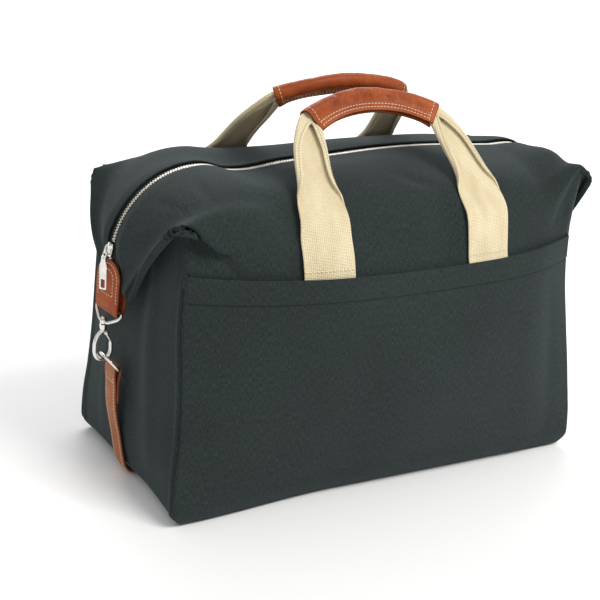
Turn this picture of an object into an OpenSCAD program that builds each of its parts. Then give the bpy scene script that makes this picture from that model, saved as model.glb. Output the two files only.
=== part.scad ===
// Zip-top doctor bag in canvas, with webbing handles, leather grips and clip-down ears.
// +X runs along the zip, -Y is the pocket side, +Z is up. Origin: middle of the bottom face.

/* [Body] */
// Width of the flat bottom, end to end
base_w = 480; // [470:1:490]
// Depth of the flat bottom, front to back
base_d = 250; // [244:1:256]
// Height of the zip above the bottom
ridge_h = 326; // [322:1:330]
// Thickness of the lined canvas
canvas_t = 2; // [1.5:0.1:2.2]
// How far the front and back bellies stand out past the corner seams
belly = 42; // [34:1:46]

/* [Pocket] */
// Height of the pocket mouth at the side seams
pocket_h = 246; // [236:1:250]
// Height of the turned hem along the mouth
hem_h = 24; // [18:1:30]
// Gap between pocket and front panel at the middle of the mouth
pocket_gap = 14; // [10:0.5:16]

/* [Handles] */
// Width of the flat webbing
web_w = 63; // [50:1:64]
// Thickness of one layer of webbing
web_t = 2.2; // [1.8:0.1:2.6]
// Distance from the middle of the bag to the middle of each foot
foot_x = 94; // [88:1:100]
// Length of a grip, measured straight between its ends
grip_len = 150; // [130:1:160]
// Rise of a grip's middle above its ends
grip_rise = 23; // [16:1:28]
// Height of a grip, from its rolled top to its stitched lower edge
grip_h = 27; // [24:1:30]
// Thickness of the rolled top of a grip
grip_t = 15; // [12:1:17]

/* [Zip] */
// Radius of the bend that takes the zip over each shoulder
bend_r = 94; // [92:1:96]
// Width of one row of closed teeth pairs
teeth_w = 6.4; // [5:0.2:7]
// Half of the opening between the two canvas edges
zip_gap = 9; // [8:0.5:10]

/* [Ear hardware] */
// Width of a leather end tab
tab_w = 38; // [32:1:40]
// Thickness of one leather layer
leather_t = 2.2; // [1.8:0.1:2.4]
// Width of the leather strap that holds an ear down
strap_w = 25; // [20:1:28]
// Wire diameter of the hook
hook_wire = 4.6; // [4:0.1:4.8]
// Wire diameter of the eye and the D-ring
ring_wire = 3.4; // [3:0.1:3.6]

/* [Hidden] */
$fn = 32;

canvas_colour = [0.14, 0.18, 0.20];
webbing_colour = [0.86, 0.79, 0.63];
leather_colour = [0.62, 0.26, 0.11];
metal_colour = [0.80, 0.80, 0.76];
tape_colour = [0.07, 0.08, 0.09];
board_colour = [0.45, 0.38, 0.30];

gap = 0.4;                        // air left between sewn pieces
half_w = base_w / 2;
half_d = base_d / 2;
flat_half = 172;                  // half of the level stretch of the zip
bend_z = ridge_h - bend_r;        // height of the bend's centre
ear_x = flat_half + bend_r;       // outer face of an ear at its tip
ear_tip_z = 196;                  // lowest canvas of an ear
corner = [250, 106, 302];         // outermost point of the ear's root, in the +X +Y quarter
ear_tip = [ear_x, 13, ear_tip_z]; // where an ear's edge ends, in the same quarter
zip_half = flat_half + bend_r * PI / 2 + bend_z - ear_tip_z;
shoulder_z = 300;
bottom_t = 3;
board_t = 3;

// Half width at the corner seam, and half depth there, by height
function seam_x(z) = half_w - 240 + lookup(z,
    [[0, 232], [14, 242], [40, 241], [80, 236], [140, 231], [200, 228], [250, 226], [290, 228]]);
function seam_y(z) = half_d - 125 + lookup(z,
    [[0, 117], [20, 123], [80, 121], [140, 116], [200, 110], [250, 108], [300, 106]]);
// Share of the belly that a panel has at a height
function belly_share(z) = lookup(z,
    [[0, 0.02], [25, 0.2], [60, 0.48], [110, 0.78], [160, 0.95], [215, 1], [246, 0.9], [270, 0.68], [290, 0.38], [300, 0.12]]);
function bulge(s, z) = belly * belly_share(z) * (1 - pow(abs(s), 3));

function unit(v) = v / norm(v);
function mix(a, b, t) = a + (b - a) * t;
function step01(t) = let(c = max(0, min(1, t))) c * c * (3 - 2 * c);
function bezier2(a, b, c, t) = a * pow(1 - t, 2) + b * 2 * t * (1 - t) + c * t * t;

// Point of the zip's centreline in the XZ plane, d above the canvas, at a distance along it from the middle
function zip_xz(dist, d = 0) =
    let(
        side = dist < 0 ? -1 : 1,
        run = abs(dist) - flat_half,
        turn = run / bend_r * 180 / PI
    )
    run <= 0 ? [dist, ridge_h + d]
    : turn <= 90
        ? [side * (flat_half + (bend_r + d) * sin(turn)), bend_z + (bend_r + d) * cos(turn)]
        : [side * (ear_x + d), bend_z - (run - bend_r * PI / 2)];

// Outer surface of the back panel: s runs -1 to 1 along the bag, v 0 to 1 up the side, 1 to 2 to the zip
function zip_share(s) = s * mix(corner[0] / zip_half, 1, pow(abs(s), 4));
seat_w = 9;                       // level strip of canvas that the tape is sewn under
seat_from = 8 / 9;
function side_point(s, z) =
    let(
        flare = step01((z - 286) / 16) * pow(abs(s), 8) * (corner[0] - seam_x(290)),
        width = seam_x(z) + flare
    )
    [s * width, seam_y(z) + bulge(s, z), z];
function top_point(s, t) =
    let(
        from = side_point(s, shoulder_z) + [0, 0, (corner[2] - shoulder_z) * pow(abs(s), 8)],
        at_zip = zip_xz(s < 0 ? -zip_half * zip_share(-s) : zip_half * zip_share(s)),
        edge = [at_zip[0], mix(zip_gap, ear_tip[1], pow(abs(s), 12)), at_zip[1]],
        to = edge + [0, seat_w, 0],
        crown = [mix(from[0], to[0], 0.5), 86, ridge_h + 1],
        straight = mix(from, to, 0.5) + [0, 6, 4],
        ear = step01((abs(s) - 0.5) / 0.5)
    )
    t < seat_from ? bezier2(from, mix(crown, straight, ear), to, t / seat_from)
    : mix(to, edge, (t - seat_from) / (1 - seat_from));
function panel_point(s, v) = v <= 1 ? side_point(s, bottom_t + gap + v * (shoulder_z - bottom_t - gap)) : top_point(s, v - 1);
function normal_at(s, v) =
    let(
        d = 0.004,
        along = panel_point(min(1, s + d), v) - panel_point(max(-1, s - d), v),
        up = panel_point(s, min(2, v + d)) - panel_point(s, max(0, v - d))
    )
    -unit(cross(along, up));
function panel_offset(s, v, out) = panel_point(s, v) + normal_at(s, v) * out;

// End panel: w runs -1 to 1 across the end, v 0 to 1 up, 1 to 2 down the underside of the ear
function end_bulge(w, z) = (1 - w * w) * lookup(z, [[0, -2], [30, 5], [80, 12], [150, 12], [220, 6], [300, 0]]);
ear_cut = 0.6;                    // how far down the ear its underside reaches
function ear_under(w, t, out) =
    let(
        q = min(1, (1 - abs(w)) / 0.93),
        s = mix(1, mix(0.8, 0.95, t), q),
        v = mix(1 + t * ear_cut, 2, q),
        depth = canvas_t + gap + 3 * sin(180 * q) + 5.9 * step01((q - 0.45) / 0.35),
        p = panel_offset(s, v, out - depth)
    )
    [p[0] - 1.4, (w == 0 ? 0 : sign(w)) * (p[1] - 3 * abs(w)), p[2]];
function end_point(w, v, out) =
    let(
        fold = ear_under(w, 0, -canvas_t),
        z = mix(bottom_t + gap, fold[2], v),
        side = seam_y(z) - canvas_t - 1.3 - (w < 0 ? canvas_t + gap : 0),
        flare = fold - [seam_x(288) - canvas_t, w * side, fold[2]],
        share = pow(v, 10)
    )
    [seam_x(min(z, 288)) - canvas_t + end_bulge(w, z) + out + flare[0] * share, w * side + flare[1] * share, z];

// Index lists for a closed skin made of two point grids, each rows by cols
function grid_faces(rows, cols, base, flip) = [
    for (r = [0 : rows - 2], c = [0 : cols - 2])
        let(a = base + r * cols + c, b = a + 1, d = a + cols, e = d + 1)
        each flip ? [[a, e, d], [a, b, e]] : [[a, d, e], [a, e, b]]
];
function rim_loop(rows, cols) = concat(
    [for (c = [0 : cols - 2]) c],
    [for (r = [0 : rows - 2]) r * cols + cols - 1],
    [for (c = [cols - 1 : -1 : 1]) (rows - 1) * cols + c],
    [for (r = [rows - 1 : -1 : 1]) r * cols]
);
module sheet_solid(outer, inner, flip = false) {
    rows = len(outer);
    cols = len(outer[0]);
    rim = rim_loop(rows, cols);
    second = rows * cols;
    count = len(rim);
    points = concat([for (row = outer) each row], [for (row = inner) each row]);
    rim_faces = [
        for (k = [0 : count - 1])
            let(a = rim[k], b = rim[(k + 1) % count])
            each flip
                ? [[a, b + second, b], [a, a + second, b + second]]
                : [[a, b, b + second], [a, b + second, a + second]]
    ];
    polyhedron(points, concat(
        grid_faces(rows, cols, 0, flip),
        grid_faces(rows, cols, second, !flip),
        rim_faces
    ), convexity = 10);
}
// A skin through rings of points, closed at both ends
function ring_faces(rings, n, base, flip) = [
    for (r = [0 : rings - 2], k = [0 : n - 1])
        let(a = base + r * n + k, b = base + r * n + (k + 1) % n, d = a + n, e = b + n)
        each flip ? [[a, e, d], [a, b, e]] : [[a, d, e], [a, e, b]]
];
module ring_solid(rings) {
    n = len(rings[0]);
    last = (len(rings) - 1) * n;
    polyhedron([for (ring = rings) each ring], concat(
        ring_faces(len(rings), n, 0, false),
        [[for (k = [0 : n - 1]) k]],
        [[for (k = [n - 1 : -1 : 0]) last + k]]
    ), convexity = 10);
}
// The same with a hollow through it
module sleeve_solid(outer, inner) {
    n = len(outer[0]);
    rings = len(outer);
    second = rings * n;
    last = (rings - 1) * n;
    cap = [
        for (k = [0 : n - 1])
            let(m = (k + 1) % n)
            each [
                [k, m + second, k + second], [k, m, m + second],
                [last + k, last + m + second, last + m], [last + k, last + k + second, last + m + second]
            ]
    ];
    polyhedron(concat([for (ring = outer) each ring], [for (ring = inner) each ring]), concat(
        ring_faces(rings, n, 0, false),
        ring_faces(rings, n, second, true),
        cap
    ), convexity = 10);
}

module both_ends(side) {
    if (side > 0) children();
    else mirror([1, 0, 0]) children();
}

// ---- Canvas ----
panel_cols = 34;
side_rows = 12;
top_rows = 9;
panel_s = [for (c = [0 : panel_cols]) let(q = 2 * c / panel_cols - 1) 0.35 * q + 0.65 * sin(90 * q)];
panel_v = concat([for (r = [0 : side_rows]) r / side_rows], [for (r = [1 : top_rows]) 1 + r / top_rows]);

module back_panel() {
    color(canvas_colour)
        sheet_solid(
            [for (v = panel_v) [for (s = panel_s) panel_point(s, v)]],
            [for (v = panel_v) [for (s = panel_s) panel_offset(s, v, -canvas_t)]],
            true
        );
}

// The front panel stands back behind the pocket
function tuck(s, v) =
    let(z = bottom_t + gap + v * (shoulder_z - bottom_t - gap))
    v > 1 ? 0
    : z <= pocket_h ? canvas_t + gap + (pocket_gap - canvas_t) * pow(z / pocket_h, 3) * (1 - pow(s, 4))
    : mix(canvas_t + gap + (pocket_gap - canvas_t) * (1 - pow(s, 4)), 0, step01((z - pocket_h) / (shoulder_z - pocket_h)));
function front_offset(s, v, out) = panel_offset(s, v, out - tuck(s, v));

module front_panel() {
    color(canvas_colour)
        mirror([0, 1, 0])
            sheet_solid(
                [for (v = panel_v) [for (s = panel_s) front_offset(s, v, 0)]],
                [for (v = panel_v) [for (s = panel_s) front_offset(s, v, -canvas_t)]],
                true
            );
}

pocket_top_v = (pocket_h - bottom_t - gap) / (shoulder_z - bottom_t - gap);
hem_v = pocket_top_v - hem_h / shoulder_z;
pocket_rows = concat([for (r = [0 : 9]) hem_v * r / 9], [hem_v + 0.004, pocket_top_v]);
mouth_sag = 6;
function pocket_offset(s, v, out) =
    panel_offset(s, v, out) - [0, 0, mouth_sag * pow(v / pocket_top_v, 6) * (1 - s * s)];

module front_pocket() {
    hem_extra = 0.8;
    color(canvas_colour)
        mirror([0, 1, 0])
            sheet_solid(
                [for (v = pocket_rows) [for (s = panel_s) pocket_offset(s, v, v > hem_v ? hem_extra : 0)]],
                [for (v = pocket_rows) [for (s = panel_s) pocket_offset(s, v, -canvas_t)]],
                true
            );
}

module end_panel() {
    cols = 20;
    upright = [for (r = [0 : 14]) r / 14];
    underside = [for (r = [0 : 7]) r / 7];
    function across(c) = 2 * c / cols - 1;
    color(canvas_colour)
        sheet_solid(
            concat(
                [for (v = upright) [for (c = [0 : cols]) end_point(across(c), v, canvas_t)]],
                [for (t = underside) if (t > 0) [for (c = [0 : cols]) ear_under(across(c), t, -canvas_t)]]
            ),
            concat(
                [for (v = upright) [for (c = [0 : cols]) v < 1 ? end_point(across(c), v, 0) : ear_under(across(c), 0, 0) - [canvas_t / 2, 0, 0]]],
                [for (t = underside) if (t > 0) [for (c = [0 : cols]) ear_under(across(c), t, 0)]]
            )
        );
}

module rounded_plate(length, depth, r, thick) {
    linear_extrude(thick)
        union() {
            square([length, depth - 2 * r], center = true);
            square([length - 2 * r, depth], center = true);
            for (x = [-1, 1], y = [-1, 1])
                translate([x * (length / 2 - r), y * (depth / 2 - r)])
                    circle(r = r);
        }
}
module bottom_panel() {
    color(canvas_colour)
        rounded_plate(2 * seam_x(0), 2 * seam_y(0), 22, bottom_t);
}
module base_board() {
    color(board_colour)
        translate([0, 0, bottom_t + gap])
            rounded_plate(2 * seam_x(0) - 28, 2 * seam_y(0) - 20, 16, board_t);
}

// ---- Zip ----
zip_step = 14;
function zip_stations(reach) = [for (k = [-reach : reach]) k / reach];

// A strip that follows the zip, between two half widths and two depths below the canvas face
module zip_strip(y_in, y_out, top, base, reach_len) {
    rings = [
        for (q = zip_stations(48))
            let(dist = q * reach_len, a = zip_xz(dist, top), b = zip_xz(dist, base))
            [[a[0], y_in, a[1]], [b[0], y_in, b[1]], [b[0], y_out, b[1]], [a[0], y_out, a[1]]]
    ];
    ring_solid(rings);
}

tape_top = -(canvas_t + 0.9);
tape_t = 1.4;
teeth_mid = tape_top - tape_t / 2;
teeth_t = 4;
teeth_half = teeth_w / 2;
row_gap = 0.7;                    // half of the space between the two rows, where the slider's post runs

module zip_tape() {
    color(tape_colour)
        zip_strip(teeth_half + 0.05, 17, tape_top, tape_top - tape_t, zip_half - 4);
}
module zip_teeth() {
    color(metal_colour)
        zip_strip(row_gap, teeth_half, teeth_mid + teeth_t / 2, teeth_mid - teeth_t / 2, zip_half - 12);
}
module zip_end_stops() {
    color(metal_colour)
        for (side = [-1, 1])
            both_ends(side)
                translate([ear_x + teeth_mid - teeth_t / 2, -teeth_half, ear_tip_z + 5.4])
                    cube([teeth_t, teeth_w, 6]);
}

// The slider is a short turn of one section about the bend's centre
slider_turn = 8.6;
slider_start = 3.4;
bridge_r = bend_r + 3.2;
link_wire = 1.6;
pull_axis = [-(flat_half + bridge_r * cos(slider_start + slider_turn / 2)), 0,
    bend_z + bridge_r * sin(slider_start + slider_turn / 2)];

module about_bend(angle_from, angle_len) {
    translate([-flat_half, 0, bend_z])
        rotate([90, 0, 0])
            rotate([0, 0, 180 - angle_from - angle_len])
                rotate_extrude(angle = angle_len, $fn = 180)
                    children();
}
module zip_slider() {
    play = 0.35;
    plate = 1.5;
    half = 6.2;
    mid = bend_r + teeth_mid;
    color(metal_colour) {
        about_bend(slider_start, slider_turn)
            difference() {
                translate([mid - teeth_t / 2 - play - plate, -half])
                    square([teeth_t + 2 * play + 2 * plate, 2 * half]);
                translate([mid - teeth_t / 2 - play, -teeth_half - play])
                    square([teeth_t + 2 * play, teeth_w + 2 * play]);
                translate([mid - tape_t / 2 - play, -half - 1])
                    square([tape_t + 2 * play, 2 * half + 2]);
            }
        about_bend(slider_start, slider_turn * 0.6)
            translate([mid - teeth_t / 2 - play - plate / 2, 0.3 - row_gap])
                square([teeth_t + 2 * play + plate, 2 * row_gap - 0.6]);
        difference() {
            about_bend(slider_start + 1.2, slider_turn - 2.4)
                translate([mid + teeth_t / 2 + play + plate / 2, -1.3])
                    square([bend_r + 5.4 - mid - teeth_t / 2 - play - plate / 2, 2.6]);
            translate(pull_axis)
                rotate([90, 0, 0])
                    cylinder(h = 8, r = link_wire / 2 + 0.08, center = true);
        }
    }
}

pull_len = 33;
pull_w = 8.4;
pull_t = 1.8;
link_drop = 8.5;
// The link is a flat ring of wire through the slider's bridge
link_lean = 20;
module zip_pull_link() {
    half = 3.4;
    color(metal_colour)
        translate(pull_axis)
            rotate([0, link_lean, 0]) {
                rotate([90, 0, 0])
                    cylinder(h = 2 * half, r = link_wire / 2, center = true);
                for (side = [-1, 1])
                    translate([0, side * half, -link_drop])
                        cylinder(h = link_drop, r = link_wire / 2);
                translate([0, 0, -link_drop])
                    rotate([90, 0, 0])
                        cylinder(h = 2 * half, r = link_wire / 2, center = true);
                for (side = [-1, 1], z = [0, -link_drop])
                    translate([0, side * half, z])
                        sphere(r = link_wire / 2);
            }
}
module zip_pull() {
    eye_r = link_wire / 2 + 0.08;
    color(metal_colour)
        translate(pull_axis - link_drop * [sin(link_lean), 0, cos(link_lean)])
            difference() {
                union() {
                    translate([-pull_t / 2, -2.4, -6])
                        cube([pull_t, 4.8, 7.6]);
                    translate([-pull_t / 2, 0, 0])
                        rotate([90, 0, 90])
                            linear_extrude(pull_t)
                                translate([-pull_w / 2, -pull_len])
                                    difference() {
                                        square([pull_w, pull_len - 3]);
                                        translate([1.7, 1.7])
                                            square([pull_w - 3.4, 7.5]);
                                    }
                    rotate([90, 0, 0])
                        cylinder(h = 4.8, r = eye_r + 0.9, center = true);
                }
                rotate([90, 0, 0])
                    cylinder(h = 12, r = eye_r, center = true);
            }
}

// ---- Handles ----
hinge_z = 290;
foot_gap = 1;
hinge_v = (hinge_z - bottom_t - gap) / (shoulder_z - bottom_t - gap);
foot_top_v = hinge_v - 4.6 / shoulder_z;
foot_low_v = (pocket_h - 8 - bottom_t) / (shoulder_z - bottom_t);
// Where each handle turns, as distance from the bag's middle and height
function face_offset(is_front, s, v, out) = is_front ? front_offset(s, v, out) : panel_offset(s, v, out);
function hinge(is_front) =
    let(p = face_offset(is_front, foot_x / seam_x(hinge_z), hinge_v, foot_gap + web_t / 2))
    [p[1], p[2]];
front_grip_at = [30, 388];
back_grip_at = [14, 396];

function foot_grid(is_front, side, out) = [
    for (r = [0 : 5])
        let(v = mix(foot_low_v, foot_top_v, r / 5))
        [for (c = [-4 : 4]) face_offset(is_front, (side * foot_x + c / 8 * web_w) / seam_x(250), v, out)]
];
module webbing_feet(is_front) {
    color(webbing_colour)
        for (side = [-1, 1])
            sheet_solid(
                foot_grid(is_front, side, foot_gap + web_t),
                foot_grid(is_front, side, foot_gap),
                true
            );
}

// Path of the webbing in the handle's own plane: x across, h up from the hinge
function grip_radius() = (pow(grip_len / 2, 2) + pow(grip_rise, 2)) / (2 * grip_rise);
function grip_half_turn() = asin(grip_len / 2 / grip_radius());
function grip_path(q, reach) =
    let(turn = q * grip_half_turn(), r = grip_radius())
    [r * sin(turn), reach - r * (1 - cos(turn))];
function grip_end(reach) = grip_path(1, reach);
function leg_path(t, reach) =
    let(
        end = grip_end(reach),
        turn = grip_half_turn(),
        a = [foot_x, start_h],
        b = [foot_x + 1, 0.45 * end[1]],
        c = end + 30 * [cos(turn), -sin(turn)]
    )
    a * pow(1 - t, 3) + b * 3 * t * pow(1 - t, 2) + c * 3 * t * t * (1 - t) + end * pow(t, 3);
function handle_path(reach) = concat(
    [for (k = [0 : 9]) let(p = leg_path(k / 10, reach)) [-p[0], p[1]]],
    [for (k = [-8 : 8]) grip_path(k / 8, reach)],
    [for (k = [9 : -1 : 0]) leg_path(k / 10, reach)]
);
// Width and thickness of the webbing along the path: flat at the foot, folded from the grip on
folded_w = 22;
folded_t = 2 * web_t + 0.6;
start_h = 0.4;
function fold_at(k, count) = let(e = min(k, count - 1 - k) / 10) step01((e - 0.05) / 0.68);

function section(path, k, outline) =
    let(
        last = len(path) - 1,
        along = unit(path[min(last, k + 1)] - path[max(0, k - 1)]),
        side = [-along[1], along[0]],
        p = path[k]
    )
    [for (o = outline) [p[0] + side[0] * o[0], o[1], p[1] + side[1] * o[0]]];

function flat_outline(w, t) = [
    [-w / 2, 0], [-w / 2 + t / 2, -t / 2], [0, -t / 2], [w / 2 - t / 2, -t / 2],
    [w / 2, 0], [w / 2 - t / 2, t / 2], [0, t / 2], [-w / 2 + t / 2, t / 2]
];
// Rolled top and stitched fin, as a closed outline in (height, thickness)
function grip_outline(extra = 0) =
    let(
        r = grip_t / 2,
        top = grip_h / 2 - r,
        fin = 3.6
    )
    concat(
        [for (a = [-70 : 28 : 70]) [top + (r + extra) * cos(a), (r + extra) * sin(a)]],
        [[-2, fin + 1.6], [-grip_h / 2, fin], [-grip_h / 2, -fin], [-2, -fin - 1.6]]
    );
function core_outline() = [
    for (p = flat_outline(folded_w - 3, folded_t)) p + [0.4, 0]
];

module in_handle_plane(at, turn_at) {
    lean = atan2(turn_at[0] - at[0], at[1] - turn_at[1]);
    translate([0, -turn_at[0], turn_at[1]])
        rotate([-lean, 0, 0])
            children();
}
function handle_reach(at, turn_at) = norm([turn_at[0] - at[0], at[1] - turn_at[1]]);

module handle_webbing(at, turn_at) {
    reach = handle_reach(at, turn_at);
    path = handle_path(reach);
    count = len(path);
    color(webbing_colour)
        in_handle_plane(at, turn_at)
            ring_solid([
                for (k = [0 : count - 1])
                    let(f = fold_at(k, count))
                    section(path, k, flat_outline(mix(web_w - 2, folded_w - 3, f), mix(web_t, folded_t, f)))
            ]);
}
module grip(at, turn_at) {
    reach = handle_reach(at, turn_at);
    path = [for (k = [-10 : 10]) grip_path(k / 10 * 0.97, reach)];
    outline = grip_outline();
    n = len(outline);
    // Inner outline with as many points as the outer one, 0.5 mm clear of the webbing
    hollow = [for (k = [0 : n - 1]) let(a = 360 * (k + 0.5) / n - 90 - 180 / n)
        [(folded_w / 2 + 1.2) * cos(a - 7), (folded_t / 2 + 0.9) * sin(a - 7)]];
    color(leather_colour)
        in_handle_plane(at, turn_at)
            sleeve_solid(
                [for (k = [0 : len(path) - 1]) section(path, k, outline)],
                [for (k = [0 : len(path) - 1]) section(path, k, hollow)]
            );
}

// ---- Leather tabs, hooks, rings and straps, drawn for the +X end ----
tab_top = 236;
eye_bar = [ear_x - 2.8, 184];       // the bar in the tab's fold, in XZ
tab_outer = ear_x + gap;
tab_inner = 2 * eye_bar[0] - tab_outer - leather_t;
tab_r = tab_outer + leather_t - eye_bar[0];
bar_play = 0.08;
chain_x = 270;                      // vertical line that the hook hangs on
eye_drop = 15;
swivel_z = eye_bar[1] - eye_drop;
hook_mid_z = 138;
hook_r = 8.4;
ring_bar = [258, 121];

module tab_leaf(x) {
    translate([x, 0, 0])
        rotate([90, 0, 90])
            linear_extrude(leather_t)
                difference() {
                    union() {
                        translate([-tab_w / 2, eye_bar[1]])
                            square([tab_w, tab_top - tab_w / 2 - eye_bar[1]]);
                        translate([0, tab_top - tab_w / 2])
                            circle(r = tab_w / 2, $fn = 64);
                    }
                }
}
module zip_tab() {
    color(leather_colour) {
        tab_leaf(tab_outer);
        tab_leaf(tab_inner);
        translate([eye_bar[0], 0, eye_bar[1]])
            rotate([90, 0, 0])
                difference() {
                    cylinder(h = tab_w, r = tab_r, center = true, $fn = 64);
                    cylinder(h = tab_w + 2, r = ring_wire / 2 + bar_play, center = true);
                    translate([-tab_r + leather_t, 0, -tab_w])
                        cube([2 * (tab_r - leather_t), tab_r + 1, 2 * tab_w]);
                }
    }
}

// A rounded rectangle of wire in a plane: bar on top, along Y
module wire_frame(half_span, drop, wire) {
    bend = wire * 1.1;
    rotate([90, 0, 0])
        cylinder(h = 2 * half_span, r = wire / 2, center = true);
    for (side = [-1, 1])
        translate([0, side * half_span, 0]) {
            sphere(r = wire / 2);
            translate([0, 0, -drop])
                cylinder(h = drop, r = wire / 2);
            translate([0, 0, -drop])
                sphere(r = wire / 2);
        }
    translate([0, 0, -drop])
        rotate([90, 0, 0])
            cylinder(h = 2 * half_span, r = wire / 2, center = true);
}
eye_half = tab_w / 2 + 2.4;
eye_lean = asin((chain_x - eye_bar[0]) / eye_drop);
module eye() {
    boss = 3.4;
    foot_z = eye_bar[1] - eye_drop * cos(eye_lean);
    color(metal_colour)
        difference() {
            union() {
                translate([eye_bar[0], 0, eye_bar[1]])
                    rotate([0, -eye_lean, 0])
                        wire_frame(eye_half, eye_drop, ring_wire);
                translate([chain_x, 0, foot_z - 2.4])
                    cylinder(h = 4.8, r = boss);
            }
            translate([chain_x, 0, foot_z - 10])
                cylinder(h = 20, r = 1.27);
        }
}

module arc_wire(r, wire, from, len) {
    rotate([90, 0, 0])
        rotate([0, 0, from])
            rotate_extrude(angle = len, $fn = 96)
                translate([r, 0])
                    circle(r = wire / 2, $fn = 32);
}
hook_neck_z = 161.5;
gate_pin = [chain_x - 3.4, 157];
gate_reach = 8.6;
module hook() {
    shank = [chain_x, 0, hook_mid_z];
    foot_z = eye_bar[1] - eye_drop * cos(eye_lean);
    tip_z = 148;
    color(metal_colour)
        difference() {
            union() {
                // Swivel stud with its head above the eye and its collar below
                translate([chain_x, 0, foot_z - 8])
                    cylinder(h = 12.4, r = 1.2);
                translate([chain_x, 0, foot_z + 2.6])
                    cylinder(h = 1.8, r = 2.5);
                translate([chain_x, 0, hook_neck_z - 7])
                    cylinder(h = foot_z - 2.7 - hook_neck_z + 7, r = 3.9);
                // Bow of the hook: back arm, round bottom, tip
                translate(shank)
                    arc_wire(hook_r, hook_wire, 180, 180);
                translate([chain_x + hook_r, 0, hook_mid_z])
                    cylinder(h = 8, r = hook_wire / 2);
                translate([chain_x + hook_r, 0, hook_mid_z + 8])
                    sphere(r = hook_wire / 2);
                translate([chain_x + hook_r, 0, hook_mid_z + 8])
                    rotate([0, -atan2(hook_r - 1, hook_neck_z - 4 - hook_mid_z - 8), 0])
                        cylinder(h = norm([hook_r - 1, hook_neck_z - 4 - hook_mid_z - 8]), r = hook_wire / 2);
                translate([chain_x - hook_r, 0, hook_mid_z])
                    cylinder(h = tip_z - hook_mid_z, r = hook_wire / 2);
                translate([chain_x - hook_r, 0, tip_z])
                    sphere(r = hook_wire / 2);
            }
            // Slot for the gate and its pin
            translate([gate_pin[0] - 6, -1.5, gate_pin[1] - 3.4])
                cube([8.6, 3, 5.6]);
            translate([gate_pin[0], 0, gate_pin[1]])
                rotate([90, 0, 0])
                    cylinder(h = 12, r = 0.75, center = true);
            // Notch in the tip where the gate closes
            translate([chain_x - hook_r - 3, -1.5, tip_z - 1.2])
                cube([8, 3, 6]);
        }
}
module gate() {
    away = [-(hook_r - 3.4), 148.4 - gate_pin[1]];
    slant = atan2(-away[0], -away[1]);
    color(metal_colour)
        translate([gate_pin[0], 0, gate_pin[1]])
            difference() {
                union() {
                    rotate([90, 0, 0])
                        cylinder(h = 2.4, r = 1.9, center = true);
                    rotate([0, slant, 0])
                        translate([-1.1, -1.2, -norm(away)])
                            cube([2.2, 2.4, norm(away)]);
                }
                rotate([90, 0, 0])
                    cylinder(h = 4, r = 0.75, center = true);
            }
}
module gate_pin_rod() {
    color(metal_colour)
        translate([gate_pin[0], 0, gate_pin[1]])
            rotate([90, 0, 0])
                cylinder(h = 7.2, r = 0.7, center = true);
}

ring_bend = 2.2;
ring_half = strap_w / 2 + ring_bend + 0.2;
bow_at = [chain_x, hook_mid_z - hook_r + hook_wire / 2 + ring_wire / 2 + 1.4];
ring_lean = atan2(bow_at[0] - ring_bar[0], bow_at[1] - ring_bar[1]);
ring_reach = norm(bow_at - ring_bar);
// A quarter or so of a turn of wire in the YZ plane, angles from +Y towards +Z
module upright_arc(y, z, r, wire, from, len) {
    translate([0, y, z])
        rotate([0, 0, 90])
            arc_wire(r, wire, from, len);
}
module d_ring() {
    bow_r = ring_half - 1;
    straight = ring_reach - bow_r;
    lap = 0.1;                    // straight rods end just inside the bends
    rod = ring_wire / 2 - 0.02;
    color(metal_colour)
        translate([ring_bar[0], 0, ring_bar[1]])
            rotate([0, ring_lean, 0]) {
                rotate([90, 0, 0])
                    cylinder(h = 2 * (ring_half - ring_bend + lap), r = rod, center = true);
                upright_arc(ring_half - ring_bend, ring_bend, ring_bend, ring_wire, 270, 90);
                upright_arc(ring_bend - ring_half, ring_bend, ring_bend, ring_wire, 180, 90);
                for (side = [-1, 1])
                    translate([0, side * ring_half, ring_bend - lap])
                        cylinder(h = straight - ring_bend + 2 * lap, r = rod);
                upright_arc(ring_half - bow_r, straight, bow_r, ring_wire, 0, 90);
                upright_arc(bow_r - ring_half, straight, bow_r, ring_wire, 90, 90);
                translate([0, 0, straight + bow_r])
                    rotate([90, 0, 0])
                        cylinder(h = 2 * (ring_half - bow_r + lap), r = rod, center = true);
            }
}

// The strap runs from its fold at the ring, down the end of the bag to the bottom seam
strap_r = ring_wire / 2 + bar_play + leather_t;
strap_line = [[258, 119], [258.5, 100], [257.5, 80], [254.5, 60], [251, 40], [249, 24], [245, 11], [240.5, 5], [236, 3]];
module strap() {
    thick = 2 * strap_r;
    last = len(strap_line) - 1;
    color(leather_colour)
        difference() {
            union() {
                ring_solid([
                    for (k = [0 : last])
                        let(
                            along = unit(strap_line[min(last, k + 1)] - strap_line[max(0, k - 1)]),
                            across = [along[1], -along[0]],
                            half = mix(strap_r - 0.02, leather_t, step01(k / 2)),
                            a = strap_line[k] + across * half,
                            b = strap_line[k] - across * half
                        )
                        [[a[0], -strap_w / 2, a[1]], [a[0], strap_w / 2, a[1]],
                         [b[0], strap_w / 2, b[1]], [b[0], -strap_w / 2, b[1]]]
                ]);
                translate([ring_bar[0], 0, ring_bar[1]])
                    rotate([90, 0, 0])
                        cylinder(h = strap_w, r = strap_r, center = true);
            }
            translate([ring_bar[0], 0, ring_bar[1]])
                rotate([90, 0, 0])
                    cylinder(h = strap_w + 2, r = ring_wire / 2 + bar_play, center = true);
        }
}

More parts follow.
